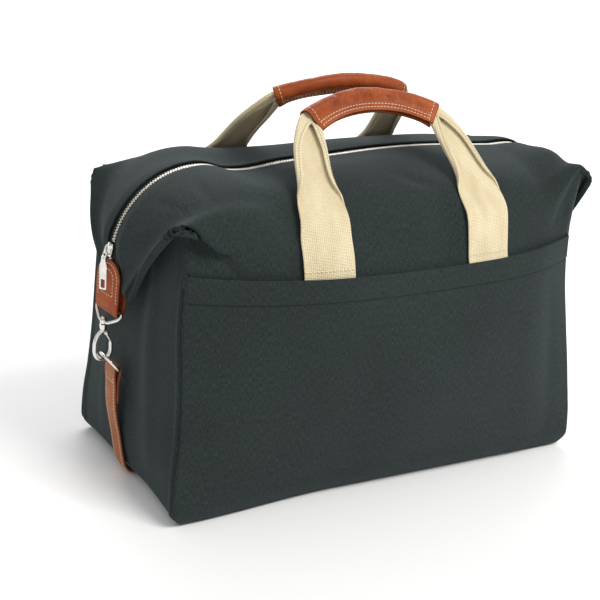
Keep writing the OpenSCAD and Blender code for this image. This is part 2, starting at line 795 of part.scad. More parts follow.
bottom_panel();
base_board();
front_panel();
back_panel();
both_ends(-1) end_panel();  // left_end_panel
both_ends(1) end_panel();  // right_end_panel
front_pocket();
mirror([0, 1, 0]) zip_tape();  // zip_tape_front
zip_tape();  // zip_tape_back
mirror([0, 1, 0]) zip_teeth();  // zip_teeth_front
zip_teeth();  // zip_teeth_back
zip_end_stops();
zip_slider();
zip_pull_link();
zip_pull();
mirror([0, 1, 0]) webbing_feet(true);  // front_webbing_feet
webbing_feet(false);  // back_webbing_feet
handle_webbing(front_grip_at, hinge(true));  // front_handle_webbing
grip(front_grip_at, hinge(true));  // front_grip
mirror([0, 1, 0]) handle_webbing(back_grip_at, hinge(false));  // back_handle_webbing
mirror([0, 1, 0]) grip(back_grip_at, hinge(false));  // back_grip
both_ends(-1) zip_tab();  // left_zip_tab
both_ends(1) zip_tab();  // right_zip_tab
both_ends(-1) strap();  // left_strap
both_ends(1) strap();  // right_strap
both_ends(-1) eye();  // left_eye
both_ends(1) eye();  // right_eye
both_ends(-1) hook();  // left_hook
both_ends(1) hook();  // right_hook
both_ends(-1) gate();  // left_gate
both_ends(1) gate();  // right_gate
both_ends(-1) gate_pin_rod();  // left_gate_pin
both_ends(1) gate_pin_rod();  // right_gate_pin
both_ends(-1) d_ring();  // left_d_ring
both_ends(1) d_ring();  // right_d_ring
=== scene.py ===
import bpy, math
import numpy as np
from mathutils import Matrix, Vector, noise


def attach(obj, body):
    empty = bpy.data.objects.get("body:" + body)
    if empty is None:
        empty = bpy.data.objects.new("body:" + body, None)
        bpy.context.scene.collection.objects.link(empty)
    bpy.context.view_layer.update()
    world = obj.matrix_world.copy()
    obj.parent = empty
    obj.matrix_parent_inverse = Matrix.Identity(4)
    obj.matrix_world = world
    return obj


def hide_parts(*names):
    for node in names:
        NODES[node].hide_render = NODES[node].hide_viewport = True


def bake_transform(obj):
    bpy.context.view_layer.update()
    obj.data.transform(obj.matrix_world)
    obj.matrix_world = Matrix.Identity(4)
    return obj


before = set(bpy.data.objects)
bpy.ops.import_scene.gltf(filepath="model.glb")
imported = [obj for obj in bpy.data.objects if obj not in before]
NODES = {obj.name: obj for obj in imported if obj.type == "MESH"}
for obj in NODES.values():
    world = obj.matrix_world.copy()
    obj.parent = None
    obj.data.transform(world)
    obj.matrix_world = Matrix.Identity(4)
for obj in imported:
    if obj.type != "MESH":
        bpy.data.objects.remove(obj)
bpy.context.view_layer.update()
RNG = np.random.RandomState(7)

# ---------------------------------------------------------------- camera, light, floor
cam = bpy.data.objects.new("camera", bpy.data.cameras.new("camera"))
bpy.context.scene.collection.objects.link(cam)
bpy.context.scene.camera = cam
cam.data.sensor_width, cam.data.lens = 36.0, 87.12
cam.data.clip_end = 50.0
azimuth, elevation, roll = (math.radians(a) for a in (-30.618, 19.474, 4.02))
back = Vector((math.sin(azimuth) * math.cos(elevation), -math.cos(azimuth) * math.cos(elevation),
               math.sin(elevation)))
right = (-back).cross(Vector((0, 0, 1))).normalized()
up = right.cross(-back)
right, up = right * math.cos(roll) + up * math.sin(roll), up * math.cos(roll) - right * math.sin(roll)
place = Matrix((right, up, back)).transposed().to_4x4()
place.translation = Vector((-0.79047, -1.25914, 0.68402))
cam.matrix_world = place

scene = bpy.context.scene
scene.view_settings.view_transform = "Standard"
scene.view_settings.look = "None"
scene.view_settings.exposure = 0.0
world = bpy.data.worlds.new("studio")
scene.world = world
world.use_nodes = True
world.node_tree.nodes["Background"].inputs[0].default_value = (1.0, 1.0, 1.0, 1)
world.node_tree.nodes["Background"].inputs[1].default_value = 0.62


def area_light(name, at, target, size, power, colour=(1, 1, 1)):
    data = bpy.data.lights.new(name, "AREA")
    data.shape, data.size, data.energy, data.color = "SQUARE", size, power, colour
    ob = bpy.data.objects.new(name, data)
    scene.collection.objects.link(ob)
    ob.location = at
    ob.rotation_euler = (Vector(target) - Vector(at)).to_track_quat("-Z", "Y").to_euler()


area_light("key", (0.75, -1.6, 2.3), (0, 0, 0.15), 1.3, 58, (1.0, 0.99, 0.96))
area_light("fill", (-2.2, -0.9, 1.3), (0, 0, 0.15), 1.6, 4, (0.96, 0.98, 1.0))
area_light("rim", (0.3, 2.0, 1.7), (0, 0, 0.2), 1.4, 20)
area_light("backdrop", (1.9, 3.2, 2.4), (1.7, 3.0, 0), 3.0, 70)


# ---------------------------------------------------------------- materials
def material(name, build):
    mat = bpy.data.materials.new(name)
    mat.use_nodes = True
    tree = mat.node_tree
    shader = next(n for n in tree.nodes if n.type == "BSDF_PRINCIPLED")
    build(Nodes(tree), shader)
    return mat


class Nodes:
    """Short hand for putting shader nodes together."""

    def __init__(self, tree):
        self.tree = tree

    def new(self, kind, **inputs):
        node = self.tree.nodes.new(kind)
        for key, value in inputs.items():
            socket = (node.inputs[key.replace("_", " ")] if not key.startswith("i")
                      or not key[1:].isdigit() else node.inputs[int(key[1:])])
            if isinstance(value, bpy.types.NodeSocket):
                self.tree.links.new(value, socket)
            else:
                socket.default_value = value
        return node

    def coords(self, scale=(1, 1, 1), uv=True):
        source = self.tree.nodes.new("ShaderNodeTexCoord").outputs["UV" if uv else "Object"]
        return self.new("ShaderNodeMapping", Vector=source, Scale=scale).outputs[0]

    def noise(self, vector, scale, detail=3.0, rough=0.55):
        return self.new("ShaderNodeTexNoise", Vector=vector, Scale=scale, Detail=detail,
                        Roughness=rough).outputs["Fac"]

    def wave(self, vector, scale, direction, distortion=0.0):
        node = self.new("ShaderNodeTexWave", Vector=vector, Scale=scale, Distortion=distortion, Detail=1.0)
        node.bands_direction = direction
        return node.outputs["Fac"]

    def math(self, op, a, b, clamp=False):
        node = self.new("ShaderNodeMath", i0=a, i1=b)
        node.operation, node.use_clamp = op, clamp
        return node.outputs[0]

    def ramp(self, fac, stops):
        node = self.new("ShaderNodeValToRGB", Fac=fac)
        ramp = node.color_ramp
        while len(ramp.elements) < len(stops):
            ramp.elements.new(0.5)
        for element, (at, colour) in zip(ramp.elements, stops):
            element.position, element.color = at, (*colour, 1)
        return node.outputs[0]

    def mix(self, fac, a, b, blend="MIX"):
        node = self.tree.nodes.new("ShaderNodeMix")
        node.data_type, node.blend_type = "RGBA", blend
        for socket, value in ((node.inputs[0], fac), (node.inputs[6], a), (node.inputs[7], b)):
            if isinstance(value, bpy.types.NodeSocket):
                self.tree.links.new(value, socket)
            else:
                socket.default_value = value if isinstance(value, float) else (*value, 1)
        return node.outputs[2]

    def bump(self, height, distance, strength=1.0, under=None):
        node = self.new("ShaderNodeBump", Height=height, Distance=distance, Strength=strength)
        if under is not None:
            self.tree.links.new(under, node.inputs["Normal"])
        return node.outputs[0]

    def link(self, a, b):
        self.tree.links.new(a, b)


def even(shader, **values):
    """Sets the values that are the same all over a surface."""
    for key, value in values.items():
        shader.inputs[key.replace("_", " ")].default_value = value


def canvas(n, s):
    cloth = n.coords((1, 1, 1))
    warp = n.noise(n.coords((1.5, 0.20, 1)), 1.0, 2.0, 0.6)
    weft = n.noise(n.coords((0.20, 1.4, 1)), 1.0, 2.0, 0.6)
    fleck = n.noise(n.coords((0.9, 0.9, 1)), 1.0, 3.0, 0.7)
    heather = n.math("ADD", n.math("MULTIPLY",
                                   n.math("ADD", n.math("MULTIPLY", warp, 0.62),
                                   n.math("MULTIPLY", weft, 0.38)), 0.7), n.math("MULTIPLY", fleck, 0.3))
    tone = n.ramp(heather, [(0.36, (0.0085, 0.0135, 0.0125)), (0.5, (0.0185, 0.0265, 0.0250)),
                            (0.64, (0.040, 0.052, 0.050))])
    cloud = n.ramp(n.noise(n.coords((1, 1, 1), uv=False), 9.0, 3.0),
                   [(0.3, (0.88, 0.88, 0.88)), (0.7, (1.1, 1.1, 1.1))])
    n.link(n.mix(1.0, tone, cloud, "MULTIPLY"), s.inputs["Base Color"])
    weave = n.math("MULTIPLY", n.wave(cloth, 0.36, "X"), n.wave(cloth, 0.36, "Y"))
    fine = n.bump(weave, 0.00018, 0.8)
    n.link(n.bump(heather, 0.0005, 0.5, fine), s.inputs["Normal"])
    even(s, Roughness=0.88, Specular_IOR_Level=0.16, Sheen_Weight=0.12, Sheen_Roughness=0.45,
         Sheen_Tint=(0.55, 0.62, 0.70, 1))


def webbing(n, s):
    cloth = n.coords((1, 1, 1))
    ribs = n.wave(cloth, 0.22, "Y", 0.6)
    cords = n.wave(cloth, 0.16, "X", 0.5)
    weave = n.math("MULTIPLY", n.math("ADD", ribs, 0.35), n.math("ADD", cords, 0.5))
    soil = n.noise(n.coords((0.05, 0.02, 1)), 1.0, 4.0)
    base = n.ramp(soil, [(0.3, (0.66, 0.555, 0.355)), (0.55, (0.76, 0.66, 0.445)), (0.8, (0.82, 0.73, 0.51))])
    shade = n.ramp(weave, [(0.0, (0.56, 0.51, 0.43)), (0.45, (0.93, 0.91, 0.88)), (1.0, (1.08, 1.07, 1.05))])
    n.link(n.mix(1.0, base, shade, "MULTIPLY"), s.inputs["Base Color"])
    n.link(n.bump(weave, 0.0005, 0.8), s.inputs["Normal"])
    even(s, Roughness=0.9, Specular_IOR_Level=0.2, Sheen_Weight=0.2)


def leather_of(dark, mid, light, gloss):
    def build(n, s):
        place = n.coords((1, 1, 1), uv=False)
        cells = n.new("ShaderNodeTexVoronoi", Vector=place, Scale=900.0)
        pores = n.noise(place, 420.0, 4.0, 0.6)
        patches = n.noise(place, 38.0, 4.0, 0.6)
        tone = n.ramp(patches, [(0.25, dark), (0.5, mid), (0.78, light)])
        fleck = n.ramp(pores, [(0.3, (0.78, 0.74, 0.72)), (0.6, (1.05, 1.05, 1.05))])
        n.link(n.mix(1.0, tone, fleck, "MULTIPLY"), s.inputs["Base Color"])
        grain = n.math("ADD", n.math("MULTIPLY", cells.outputs["Distance"], 0.5),
                       n.math("MULTIPLY", pores, 0.8))
        n.link(n.bump(grain, 0.00035, 0.7), s.inputs["Normal"])
        n.link(n.ramp(pores, [(0.3, (gloss + 0.12,) * 3), (0.7, (gloss,) * 3)]), s.inputs["Roughness"])
        even(s, Specular_IOR_Level=0.20, Coat_Weight=0.03, Coat_Roughness=0.3)
    return build


def metal_of(colour, rough):
    def build(n, s):
        place = n.coords((1, 1, 1), uv=False)
        smear = n.noise(place, 120.0, 4.0)
        n.link(n.ramp(smear, [(0.3, tuple(c * 0.86 for c in colour)), (0.65, colour)]),
               s.inputs["Base Color"])
        n.link(n.ramp(smear, [(0.3, (rough + 0.1,) * 3), (0.7, (rough,) * 3)]), s.inputs["Roughness"])
        n.link(n.bump(n.noise(place, 500.0, 2.0), 0.00006, 0.4), s.inputs["Normal"])
        even(s, Metallic=1.0)
    return build


def tape(n, s):
    cloth = n.coords((1, 1, 1))
    rib = n.wave(cloth, 0.5, "X")
    # painted shade: the tape's colour is darker in the grooves between its ribs, following the wave that
    # raises them in the bump
    n.link(n.ramp(rib, [(0.0, (0.003, 0.0035, 0.004)), (1.0, (0.012, 0.013, 0.0135))]),
           s.inputs["Base Color"])
    n.link(n.bump(rib, 0.0002, 0.7), s.inputs["Normal"])
    even(s, Roughness=0.8)


def thread_of(colour):
    def build(n, s):
        twist = n.noise(n.coords((1, 1, 1), uv=False), 1500.0, 2.0)
        n.link(n.ramp(twist, [(0.3, tuple(c * 0.7 for c in colour)), (0.65, colour)]), s.inputs["Base Color"])
        n.link(n.bump(twist, 0.0001, 0.6), s.inputs["Normal"])
        even(s, Roughness=0.7, Sheen_Weight=0.2)
    return build


def floor_look(n, s):
    even(s, Base_Color=(0.9, 0.9, 0.9, 1), Roughness=0.7)


CANVAS = material("canvas_charcoal", canvas)
WEBBING = material("webbing_cream", webbing)
COGNAC = material("leather_cognac",
                  leather_of((0.20, 0.036, 0.006), (0.285, 0.056, 0.009), (0.38, 0.088, 0.016), 0.46))
TAN = material("leather_tan", leather_of((0.26, 0.080, 0.028), (0.34, 0.115, 0.042), (0.42, 0.16, 0.066),
                                         0.5))
NICKEL = material("nickel", metal_of((0.80, 0.78, 0.74), 0.16))
TEETH = material("zip_metal", metal_of((0.74, 0.71, 0.63), 0.30))
TAPE = material("zip_tape", tape)
CREAM = material("thread_cream", thread_of((0.78, 0.62, 0.40)))
BOARD = material("board", leather_of((0.16, 0.11, 0.07), (0.22, 0.16, 0.1), (0.27, 0.2, 0.13), 0.8))
FLOOR = material("floor", floor_look)

bpy.ops.mesh.primitive_plane_add(size=14)
ground = bpy.context.object
ground.name = "studio_floor"
ground.data.materials.append(FLOOR)


# ---------------------------------------------------------------- helpers, all in millimetres
def smooth_table(xs, ys):
    """A smooth curve through the points that doesn't overshoot."""
    xs, ys = np.array(xs, float), np.array(ys, float)
    step, slope = np.diff(xs), np.diff(ys) / np.diff(xs)
    tangent = np.zeros_like(ys)
    for i in range(1, len(xs) - 1):
        if slope[i - 1] * slope[i] > 0:
            a, b = 2 * step[i] + step[i - 1], step[i] + 2 * step[i - 1]
            tangent[i] = (a + b) / (a / slope[i - 1] + b / slope[i])
    tangent[0], tangent[-1] = slope[0], slope[-1]

    def at(x):
        x = np.clip(x, xs[0], xs[-1])
        i = np.clip(np.searchsorted(xs, x) - 1, 0, len(xs) - 2)
        h = step[i]
        t = (x - xs[i]) / h
        return ((1 + 2 * t) * (1 - t) ** 2 * ys[i] + t * (1 - t) ** 2 * h * tangent[i]
                + t * t * (3 - 2 * t) * ys[i + 1] + t * t * (t - 1) * h * tangent[i + 1])
    return at


def ease(a, b, x):
    t = np.clip((x - a) / (b - a), 0, 1)
    return t * t * (3 - 2 * t)


def hump(centre, width, x):
    return np.exp(-((x - centre) / width) ** 2)


def unit(v):
    return v / np.maximum(np.linalg.norm(v, axis=-1, keepdims=True), 1e-9)


def wander(x, y, seed):
    """Slow, smooth unevenness between about -1 and 1."""
    return (np.sin(1.7 * x + 2.1 * y + seed) + np.sin(-1.1 * x + 2.9 * y + 2.3 * seed)
            + np.sin(3.1 * x + 0.7 * y + 1.3 * seed) + np.sin(2.3 * x - 3.7 * y + 3.1 * seed)) / 3.2


def add_mesh(name, verts, faces, mat, body, uvs=None, smooth=True):
    mesh = bpy.data.meshes.new(name)
    mesh.from_pydata((np.asarray(verts) * 0.001).tolist(), [], [tuple(int(i) for i in f) for f in faces])
    if uvs is not None:
        layer = mesh.uv_layers.new(name="mm")
        index = np.zeros(len(mesh.loops), dtype=np.int32)
        mesh.loops.foreach_get("vertex_index", index)
        layer.data.foreach_set("uv", np.asarray(uvs, np.float32)[index].ravel())
    mesh.materials.append(mat)
    if smooth:
        mesh.polygons.foreach_set("use_smooth", np.ones(len(mesh.polygons), dtype=bool))
    mesh.update()
    ob = bpy.data.objects.new(name, mesh)
    scene.collection.objects.link(ob)
    if body:
        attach(ob, body)
    return ob


def grid_faces(rows, cols, flip=False, loop=False):
    span = cols if loop else cols - 1
    r, c = np.meshgrid(np.arange(rows - 1), np.arange(span), indexing="ij")
    n = (c + 1) % cols
    quads = np.stack([r * cols + c, r * cols + n, (r + 1) * cols + n, (r + 1) * cols + c], -1).reshape(-1, 4)
    return quads[:, ::-1] if flip else quads


def cloth_uv(points):
    """Lengths along the cloth, in millimetres, from the grid's middle column and its first row."""
    rows, cols = points.shape[:2]
    along = np.zeros((rows, cols))
    along[:, 1:] = np.cumsum(np.linalg.norm(np.diff(points, axis=1), axis=2), axis=1)
    along -= along[:, cols // 2][:, None]
    upward = np.zeros((rows, cols))
    upward[1:] = np.cumsum(np.linalg.norm(np.diff(points, axis=0), axis=2), axis=0)
    return np.stack([along, upward], -1).reshape(-1, 2)


def add_sheet(name, points, mat, body, thick=2.0, flip=False, offset=-1.0, blend=None, uvs=None):
    ob = add_mesh(name, points.reshape(-1, 3), grid_faces(*points.shape[:2], flip=flip), mat, None
                  if blend else body, cloth_uv(points) if uvs is None else uvs)
    if thick:
        solid = ob.modifiers.new("thickness", "SOLIDIFY")
        solid.thickness, solid.offset = thick * 0.001, offset
        solid.use_even_offset = False
    return ob


# ---------------------------------------------------------------- the bag's surfaces, as in the CAD
FLAT, BEND, RIDGE = 172.0, 94.0, 326.0
BEND_Z = RIDGE - BEND
EAR_X, TIP_Z, SHOULDER = FLAT + BEND, 196.0, 300.0
BASE_Z = 3.4               # where the side's cloth starts
SIDE = SHOULDER - BASE_Z   # the way up the side
OVER = 135.0               # about the way from the shoulder to the zip
CORNER, TIP = np.array([250.0, 106.0, 302.0]), np.array([EAR_X, 13.0, TIP_Z])
ZIP_HALF = FLAT + BEND * math.pi / 2 + BEND_Z - TIP_Z
POCKET_TOP = 246.0
seam_x = smooth_table([0, 14, 40, 80, 140, 200, 250, 290, 300], [232, 242, 241, 236, 231, 228, 226, 228, 230])
seam_y = smooth_table([0, 20, 80, 140, 200, 250, 300], [116, 123, 121, 116, 110, 108, 106])
share = smooth_table([0, 25, 60, 110, 160, 215, 246, 270, 290, 300],
                     [0.0, 0.2, 0.48, 0.78, 0.95, 1.0, 0.9, 0.68, 0.38, 0.12])
BELLY = 40.0


def zip_xz(dist, depth=0.0):
    side, run = np.sign(dist), np.abs(dist) - FLAT
    turn = np.clip(run / BEND, 0, math.pi / 2)
    past = np.maximum(run - BEND * math.pi / 2, 0)
    flat = np.minimum(np.abs(dist), FLAT)
    return (side * (flat + (BEND + depth) * np.sin(turn)),
            np.where(run > 0, BEND_Z + (BEND + depth) * np.cos(turn), RIDGE + depth) - past)


def ridge_wave(x):
    """The zip rises and falls a little along the top."""
    return (3.0 * np.sin(x / 46.0 + 0.6) * hump(40, 190, x) + 3.5 * hump(120, 70, x) - 7.0
            * hump(-130, 40, x)) * ease(-174, -140, x)


def hard_point(s, v):
    """Outer face of the back panel: s from -1 to 1 along the bag, v 0 to 1 up the side, 1 to 2 over to the
    zip."""
    s, v = np.broadcast_arrays(np.asarray(s, float), np.asarray(v, float))
    size = np.abs(s)
    z = BASE_Z + np.clip(v, 0, 1) * SIDE
    flare = ease(296, 302.5, z) * size ** 8 * (CORNER[0] - 228)
    low = np.stack([s * (seam_x(z) + flare), seam_y(z) + BELLY * share(z) * (1 - size ** 3), z
                    + (CORNER[2] - SHOULDER) * size ** 8 * ease(286, 300, z)], -1)
    dist = ZIP_HALF * s * (CORNER[0] / ZIP_HALF + (1 - CORNER[0] / ZIP_HALF) * size ** 4)
    zx, zz = zip_xz(dist)
    zz = zz + ridge_wave(zx) * ease(1.0, 0.75, size)
    edge_y = 9.0 + (TIP[1] - 9.0) * size ** 12
    seat = np.stack([zx, edge_y + 9.0, zz], -1)
    ear = ease(0.5, 1.0, size)[..., None]
    crown = np.stack([(low[..., 0] + zx) / 2, np.full_like(zx, 86.0), np.full_like(zx, RIDGE + 1)], -1)
    straight = (low + seat) / 2 + np.array([0, 6.0, 4.0])
    mid = crown * (1 - ear) + straight * ear
    t = np.clip(v - 1, 0, 1)[..., None]
    q = np.clip(t / (8 / 9), 0, 1)
    over = low * (1 - q) ** 2 + 2 * mid * q * (1 - q) + seat * q * q
    lip = np.clip((t - 8 / 9) * 9, 0, 1) * np.array([0, 9.0, 0])
    return np.where(v[..., None] > 1, over - lip, low)


def bag_point(s, v):
    """The same with its shoulder and the corners of its ears rounded, as soft cloth turns."""
    s, v = np.broadcast_arrays(np.asarray(s, float), np.asarray(v, float))
    level = np.where(v < 1, (v - 1) * SIDE, (v - 1) * OVER)
    reach = (24.0 - 8.0 * ease(0.9, 1.0, s)) * hump(0, 48, level)
    total = 0
    for k, weight in ((-1, 1), (-0.66, 2), (-0.33, 3), (0, 3.5), (0.33, 3), (0.66, 2), (1, 1)):
        there = level + k * reach
        past = np.where(there < 0, there / SIDE, there / OVER)
        total = total + weight / 15.5 * hard_point(s, np.clip(1 + past, 0, 2))
    return total


def bag_normal(s, v):
    d = 0.003
    along = bag_point(np.minimum(s + d, 1), v) - bag_point(np.maximum(s - d, -1), v)
    upward = bag_point(s, np.minimum(v + d, 2)) - bag_point(s, np.maximum(v - d, 0))
    return unit(-np.cross(along, upward))


def v_of(z):
    return (z - BASE_Z) / SIDE


def stand(x, y, z):
    """How much the stiff cloth of the right end stands up above an even bend, most on its front side."""
    return (29.0 * ease(176, 230, x) * (1 - 0.5 * ease(226, 250, x)) * ease(252, 298, z)
            * (0.45 + 0.55 * ease(-8, -70, y)))


def lean(p):
    """The whole bag sits a little uneven: its sides are pushed left above the middle, and its corners are
    lifted by different amounts."""
    p = np.array(p, float)
    x, y, z = p[..., 0], p[..., 1], p[..., 2]
    raised = ease(90, 225, -x) * ease(20, 95, np.abs(y)) * ease(230, 300, z) * np.where(y > 0, 1.0, 0.45)
    p[..., 0] = (x - 6.5 * hump(215, 95, z) * ease(60, 225, np.abs(x)) * ease(0, 60, np.abs(y)) + 7.0
                 * raised + 6.0 * ease(200, 245, x) * ease(250, 292, z))
    p[..., 2] = z + 9.0 * raised + stand(x, y, z)
    splay = ease(60, 235, -x) * ease(95, 0, z) * ease(50, 116, -y)
    p[..., 0] -= 6.0 * splay
    p[..., 1] -= 14.0 * splay
    return p


# ---------------------------------------------------------------- front and back panels
lip_v = smooth_table([0.70, 0.77, 0.81, 0.855, 0.91, 0.973, 1.0],
                     [0.80, 0.825, 0.85, 0.878, 0.915, 0.952, 0.982])
# The lip's own section: way up from the fold line and way out from the cloth, in millimetres
LIP = np.array([(-7, -7), (-1, -7.2), (4, -7.0), (6.2, -6.2), (6.6, -5.2), (5.2, -4.4), (1.5, -4.0),
                (-1.4, -3.2), (-2.8, -1.7),
                (-2.3, 0.0), (-0.2, 1.2), (3.5, 1.7), (8, 1.5), (14, 0.9), (21, 0.3), (28, 0)], float)


def lip_strength(s, front):
    """How far the loose top cloth folds over the side below it: most at the left end of the front."""
    size = np.abs(s)
    strength = np.where(s < 0, ease(0.765, 0.94, size), 0.35 * ease(0.84, 0.92, size) * ease(1.0, 0.94, size))
    return strength if front else 0.8 * strength


def corner_recess(z, left, front):
    return (11.0 if left else 2.0) * (1.0 if front else 0.8) * ease(246, 276, z)


def corner_tuck(z, left, front):
    """How far the seams lean inwards below the ears."""
    return (8.0 if left else 0.0) * (1.0 if front else 0.6) * ease(225, 284, z)


def skin(front, S, V):
    """The front or back panel without the fold, as it lies over the pocket's back or the lining."""
    z_like = BASE_Z + np.minimum(V, 1) * SIDE
    D = (1.7 * wander(S * 3.2, V * 2.3, 1.0 if front else 4.0) * (1 - np.abs(S) ** 6) * ease(0, 0.25, V)
         * ease(2.0, 1.75, V))
    if front:
        D = D - np.where(V > 1, 0, (2.6 + 5.0 * np.clip(z_like / POCKET_TOP, 0, 1) ** 4 * (1 - S ** 4))
                         * ease(SHOULDER, POCKET_TOP, z_like))
        # hollows beside the handles' feet, the crease across the shoulder and the draw lines down from the
        # zip
        D = (D - 4.0 * hump(0.19, 0.085, S) * hump(0.93, 0.13, V) - 3.4
             * hump(-0.555, 0.075, S + 0.05 * (V - 1)) * hump(0.98, 0.16, V))
        D = (D + 2.0 * hump(-0.72, 0.10, S) * hump(1.02, 0.16, V) + 1.6 * hump(0.30, 0.07, S)
             * hump(1.05, 0.2, V))
        D = D - 2.2 * hump(0, 0.05, S - 0.16 + 0.35 * (V - 1.25)) * hump(1.32, 0.14, V)
        D = (D - 1.5 * hump(0, 0.018, S + 0.76 - 0.16 * (V - 1.5)) * hump(1.52, 0.22, V) - 1.3
             * hump(0, 0.014, S + 0.85 - 0.10 * (V - 1.5)) * hump(1.6, 0.2, V))
    D = (D - 2.6 * hump(0, 0.16, V - 1.30 - 0.12 * S) * hump(-0.62, 0.2, S) - 2.0
         * hump(0, 0.10, V - 1.18 + 0.2 * S) * hump(0.5, 0.22, S))
    return bag_point(S, V) + bag_normal(S, V) * D[..., None]


def panel(front):
    cols, wrap = 200, 9
    s = np.linspace(-1, 1, cols)
    s = 0.45 * s + 0.55 * np.sin(s * math.pi / 2)
    vf, amount = lip_v(np.abs(s)), lip_strength(s, front)
    rows_v, rows_d = [], []
    first, last = LIP[0, 0], LIP[-1, 0]
    above = lambda up: np.where(vf + up / SIDE > 1, 1 + (up - (1 - vf) * SIDE) / OVER, vf + up
                                / SIDE)
    start, stop = above(first), above(last)
    deep = 1 + np.where(s < 0, 0.6, 0.0) * ease(0.9, 1.0, np.abs(s))
    merge_in = ease(0.945, 0.995, np.abs(s))
    under = []
    for a in np.linspace(0, 1, 64)[:-1]:
        v = start * a
        rows_v.append(v)
        rows_d.append(LIP[0, 1] * amount * deep * ease(246, 272, BASE_Z + v * SIDE))
        under.append(1.0)
    knots = np.arange(len(LIP))
    up_at, out_at = smooth_table(knots, LIP[:, 0]), smooth_table(knots, LIP[:, 1])
    for q in np.linspace(0, 1, 44):
        k = q * (len(LIP) - 1)
        level = first + (last - first) * q
        rows_v.append(above(level + (up_at(k) - level) * ease(0.12, 0.85, amount) * (1 - merge_in)))
        rows_d.append(amount * (out_at(k) * (1 - merge_in) + LIP[0, 1] * ease(6.6, 4.4, k) * merge_in)
                      * (1 + (deep - 1) * ease(8.5, 4, k)))
        under.append(float(ease(8, 4, k)))
    for t in np.linspace(0, 1, 54)[1:]:
        rows_v.append(stop + (2 - stop) * t)
        rows_d.append(0 * s)
        under.append(0.0)
    V, D = np.array(rows_v), np.array(rows_d)
    S = np.broadcast_to(s, V.shape)
    P = skin(front, S, V) + bag_normal(S, V) * D[..., None]
    tuck = np.where(S < 0, corner_tuck(P[..., 2], True, front), -corner_tuck(P[..., 2], False, front))
    P[..., 0] += tuck * ease(0.86, 1.0, np.abs(S)) * np.array(under)[:, None]
    P[..., 0] -= np.sign(S) * 12.0 * ease(1.3, 1.9, V) * ease(0.9, 1.0, np.abs(S))
    N = bag_normal(S, V)
    # the cloth turns in at each side: a tight turn at the seam, a soft round lip along the ear
    side_cols = []
    for end in (0, -1):
        edge, n = P[:, end], N[:, end]
        base = bag_point(S, V)
        outward = unit(base[:, end] - base[:, 2 if end == 0 else -3])
        radius = 1.6 + (2.4 if end == 0 else 0.6) * ease(0.98, 1.06, V[:, end])
        cut = []
        for k in range(1, wrap + 1):
            turn = min(math.pi * k / (wrap - 3), math.pi)
            slide = max(0, k - (wrap - 3)) * 4.0
            cut.append(edge + outward * (radius * math.sin(turn) - slide)[:, None] - n
                       * (radius * (1 - math.cos(turn)))[:, None])
        side_cols.append(np.stack(cut, 1))
    P = np.concatenate([side_cols[0][:, ::-1], P, side_cols[1]], 1)
    if front:
        P[..., 1] *= -1
    return lean(P)


front_grid = panel(True)
back_grid = panel(False)
ob = add_sheet("front_canvas", front_grid, CANVAS, "bag", 1.6, flip=False)
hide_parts("front_panel")
ob = add_sheet("back_canvas", back_grid, CANVAS, "bag", 1.6, flip=True)
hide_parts("back_panel")


# ---------------------------------------------------------------- end panels
def end_panel(side):
    w = np.linspace(-1, 1, 90)
    bulge = smooth_table([0, 30, 80, 150, 220, 300], [-2, 5, 12, 12, 6, 0])

    def under(w, t, extra=0.0):
        size = np.abs(w)
        q = np.minimum(1, (1 - size) / 0.93)
        s = 1 + (0.8 + 0.15 * t - 1) * q
        v = 1 + t * 0.8 + (1 - t * 0.8) * q
        depth = (4.6 if side < 0 else 3.0) + 4.0 * ease(0.45, 0.8, q) + 2.0 * np.sin(math.pi * q) + extra
        p = bag_point(s, v) - bag_normal(s, v) * depth[..., None]
        return np.stack([p[..., 0] - 1.5, np.sign(w) * (p[..., 1] - 4.0 * size), p[..., 2]], -1)

    rows = []
    fold = under(w, 0.0)
    near = ease(0.3, 1.0, np.abs(w))
    recess = lambda z: np.where(w < 0, corner_recess(z, side < 0, True), corner_recess(z, side < 0, False))
    side_y = lambda z: seam_y(z) - 2.2 - near * recess(z)
    for v in np.linspace(0, 1, 80):
        z = BASE_Z + v * (fold[:, 2] - BASE_Z)
        base_x = seam_x(np.minimum(z, 288)) + (1 - w * w) * bulge(z)
        puff = ((2.2 if side < 0 else 6.5 * ease(10, 60, z))
                * (hump(0.945, 0.03, np.abs(w)) - (1.3 if side < 0 else 0.4) * hump(1.0, 0.022, np.abs(w))))
        ripple = ((1.3 * wander(w * 2.4, z / 90.0, 2.0 + side) + 1.6 * hump(-0.55 + 0.0006 * z, 0.10, w)
                   - 1.4 * hump(-0.25, 0.12, w))
                  + 1.2 * hump(0.45, 0.10, w)) * (1 - w ** 6) * ease(0, 50, z)
        keep = v ** 10
        edge = np.abs(w) ** 6
        keep = keep * (1 - edge) + edge * ease(fold[:, 2] - 3, fold[:, 2] + 1, z)
        tuck = (np.where(w < 0, corner_tuck(z, side < 0, True), corner_tuck(z, side < 0, False)) * edge
                * (1 - keep))
        x = base_x + puff - tuck + ripple * (1 - keep) + (fold[:, 0] - seam_x(288)) * keep
        y = w * side_y(z) + (fold[:, 1] - w * side_y(fold[:, 2])) * keep
        rows.append(np.stack([x, y, z], -1))
    for t in np.linspace(0, 1, 22)[1:]:
        rows.append(under(w, t))
    P = np.array(rows)
    short = np.where(np.arange(len(P)) < 80, ease(291, 279, P[:, 0, 2]), 0)[:, None]

    def turned_in(edge, by, shift):
        return (edge - (0.3 + by * short) * np.array([1.0, 0, 0]) - np.sign(edge[:, 1:2]) * shift
                * np.array([0, 1.0, 0]))

    P = np.concatenate([turned_in(P[:, 0], 15, 1.2)[:, None], turned_in(P[:, 0], 2, 0.6)[:, None], P,
                        turned_in(P[:, -1], 2, 0.6)[:, None], turned_in(P[:, -1], 15, 1.2)[:, None]], 1)
    P[..., 0] *= side
    return lean(P)


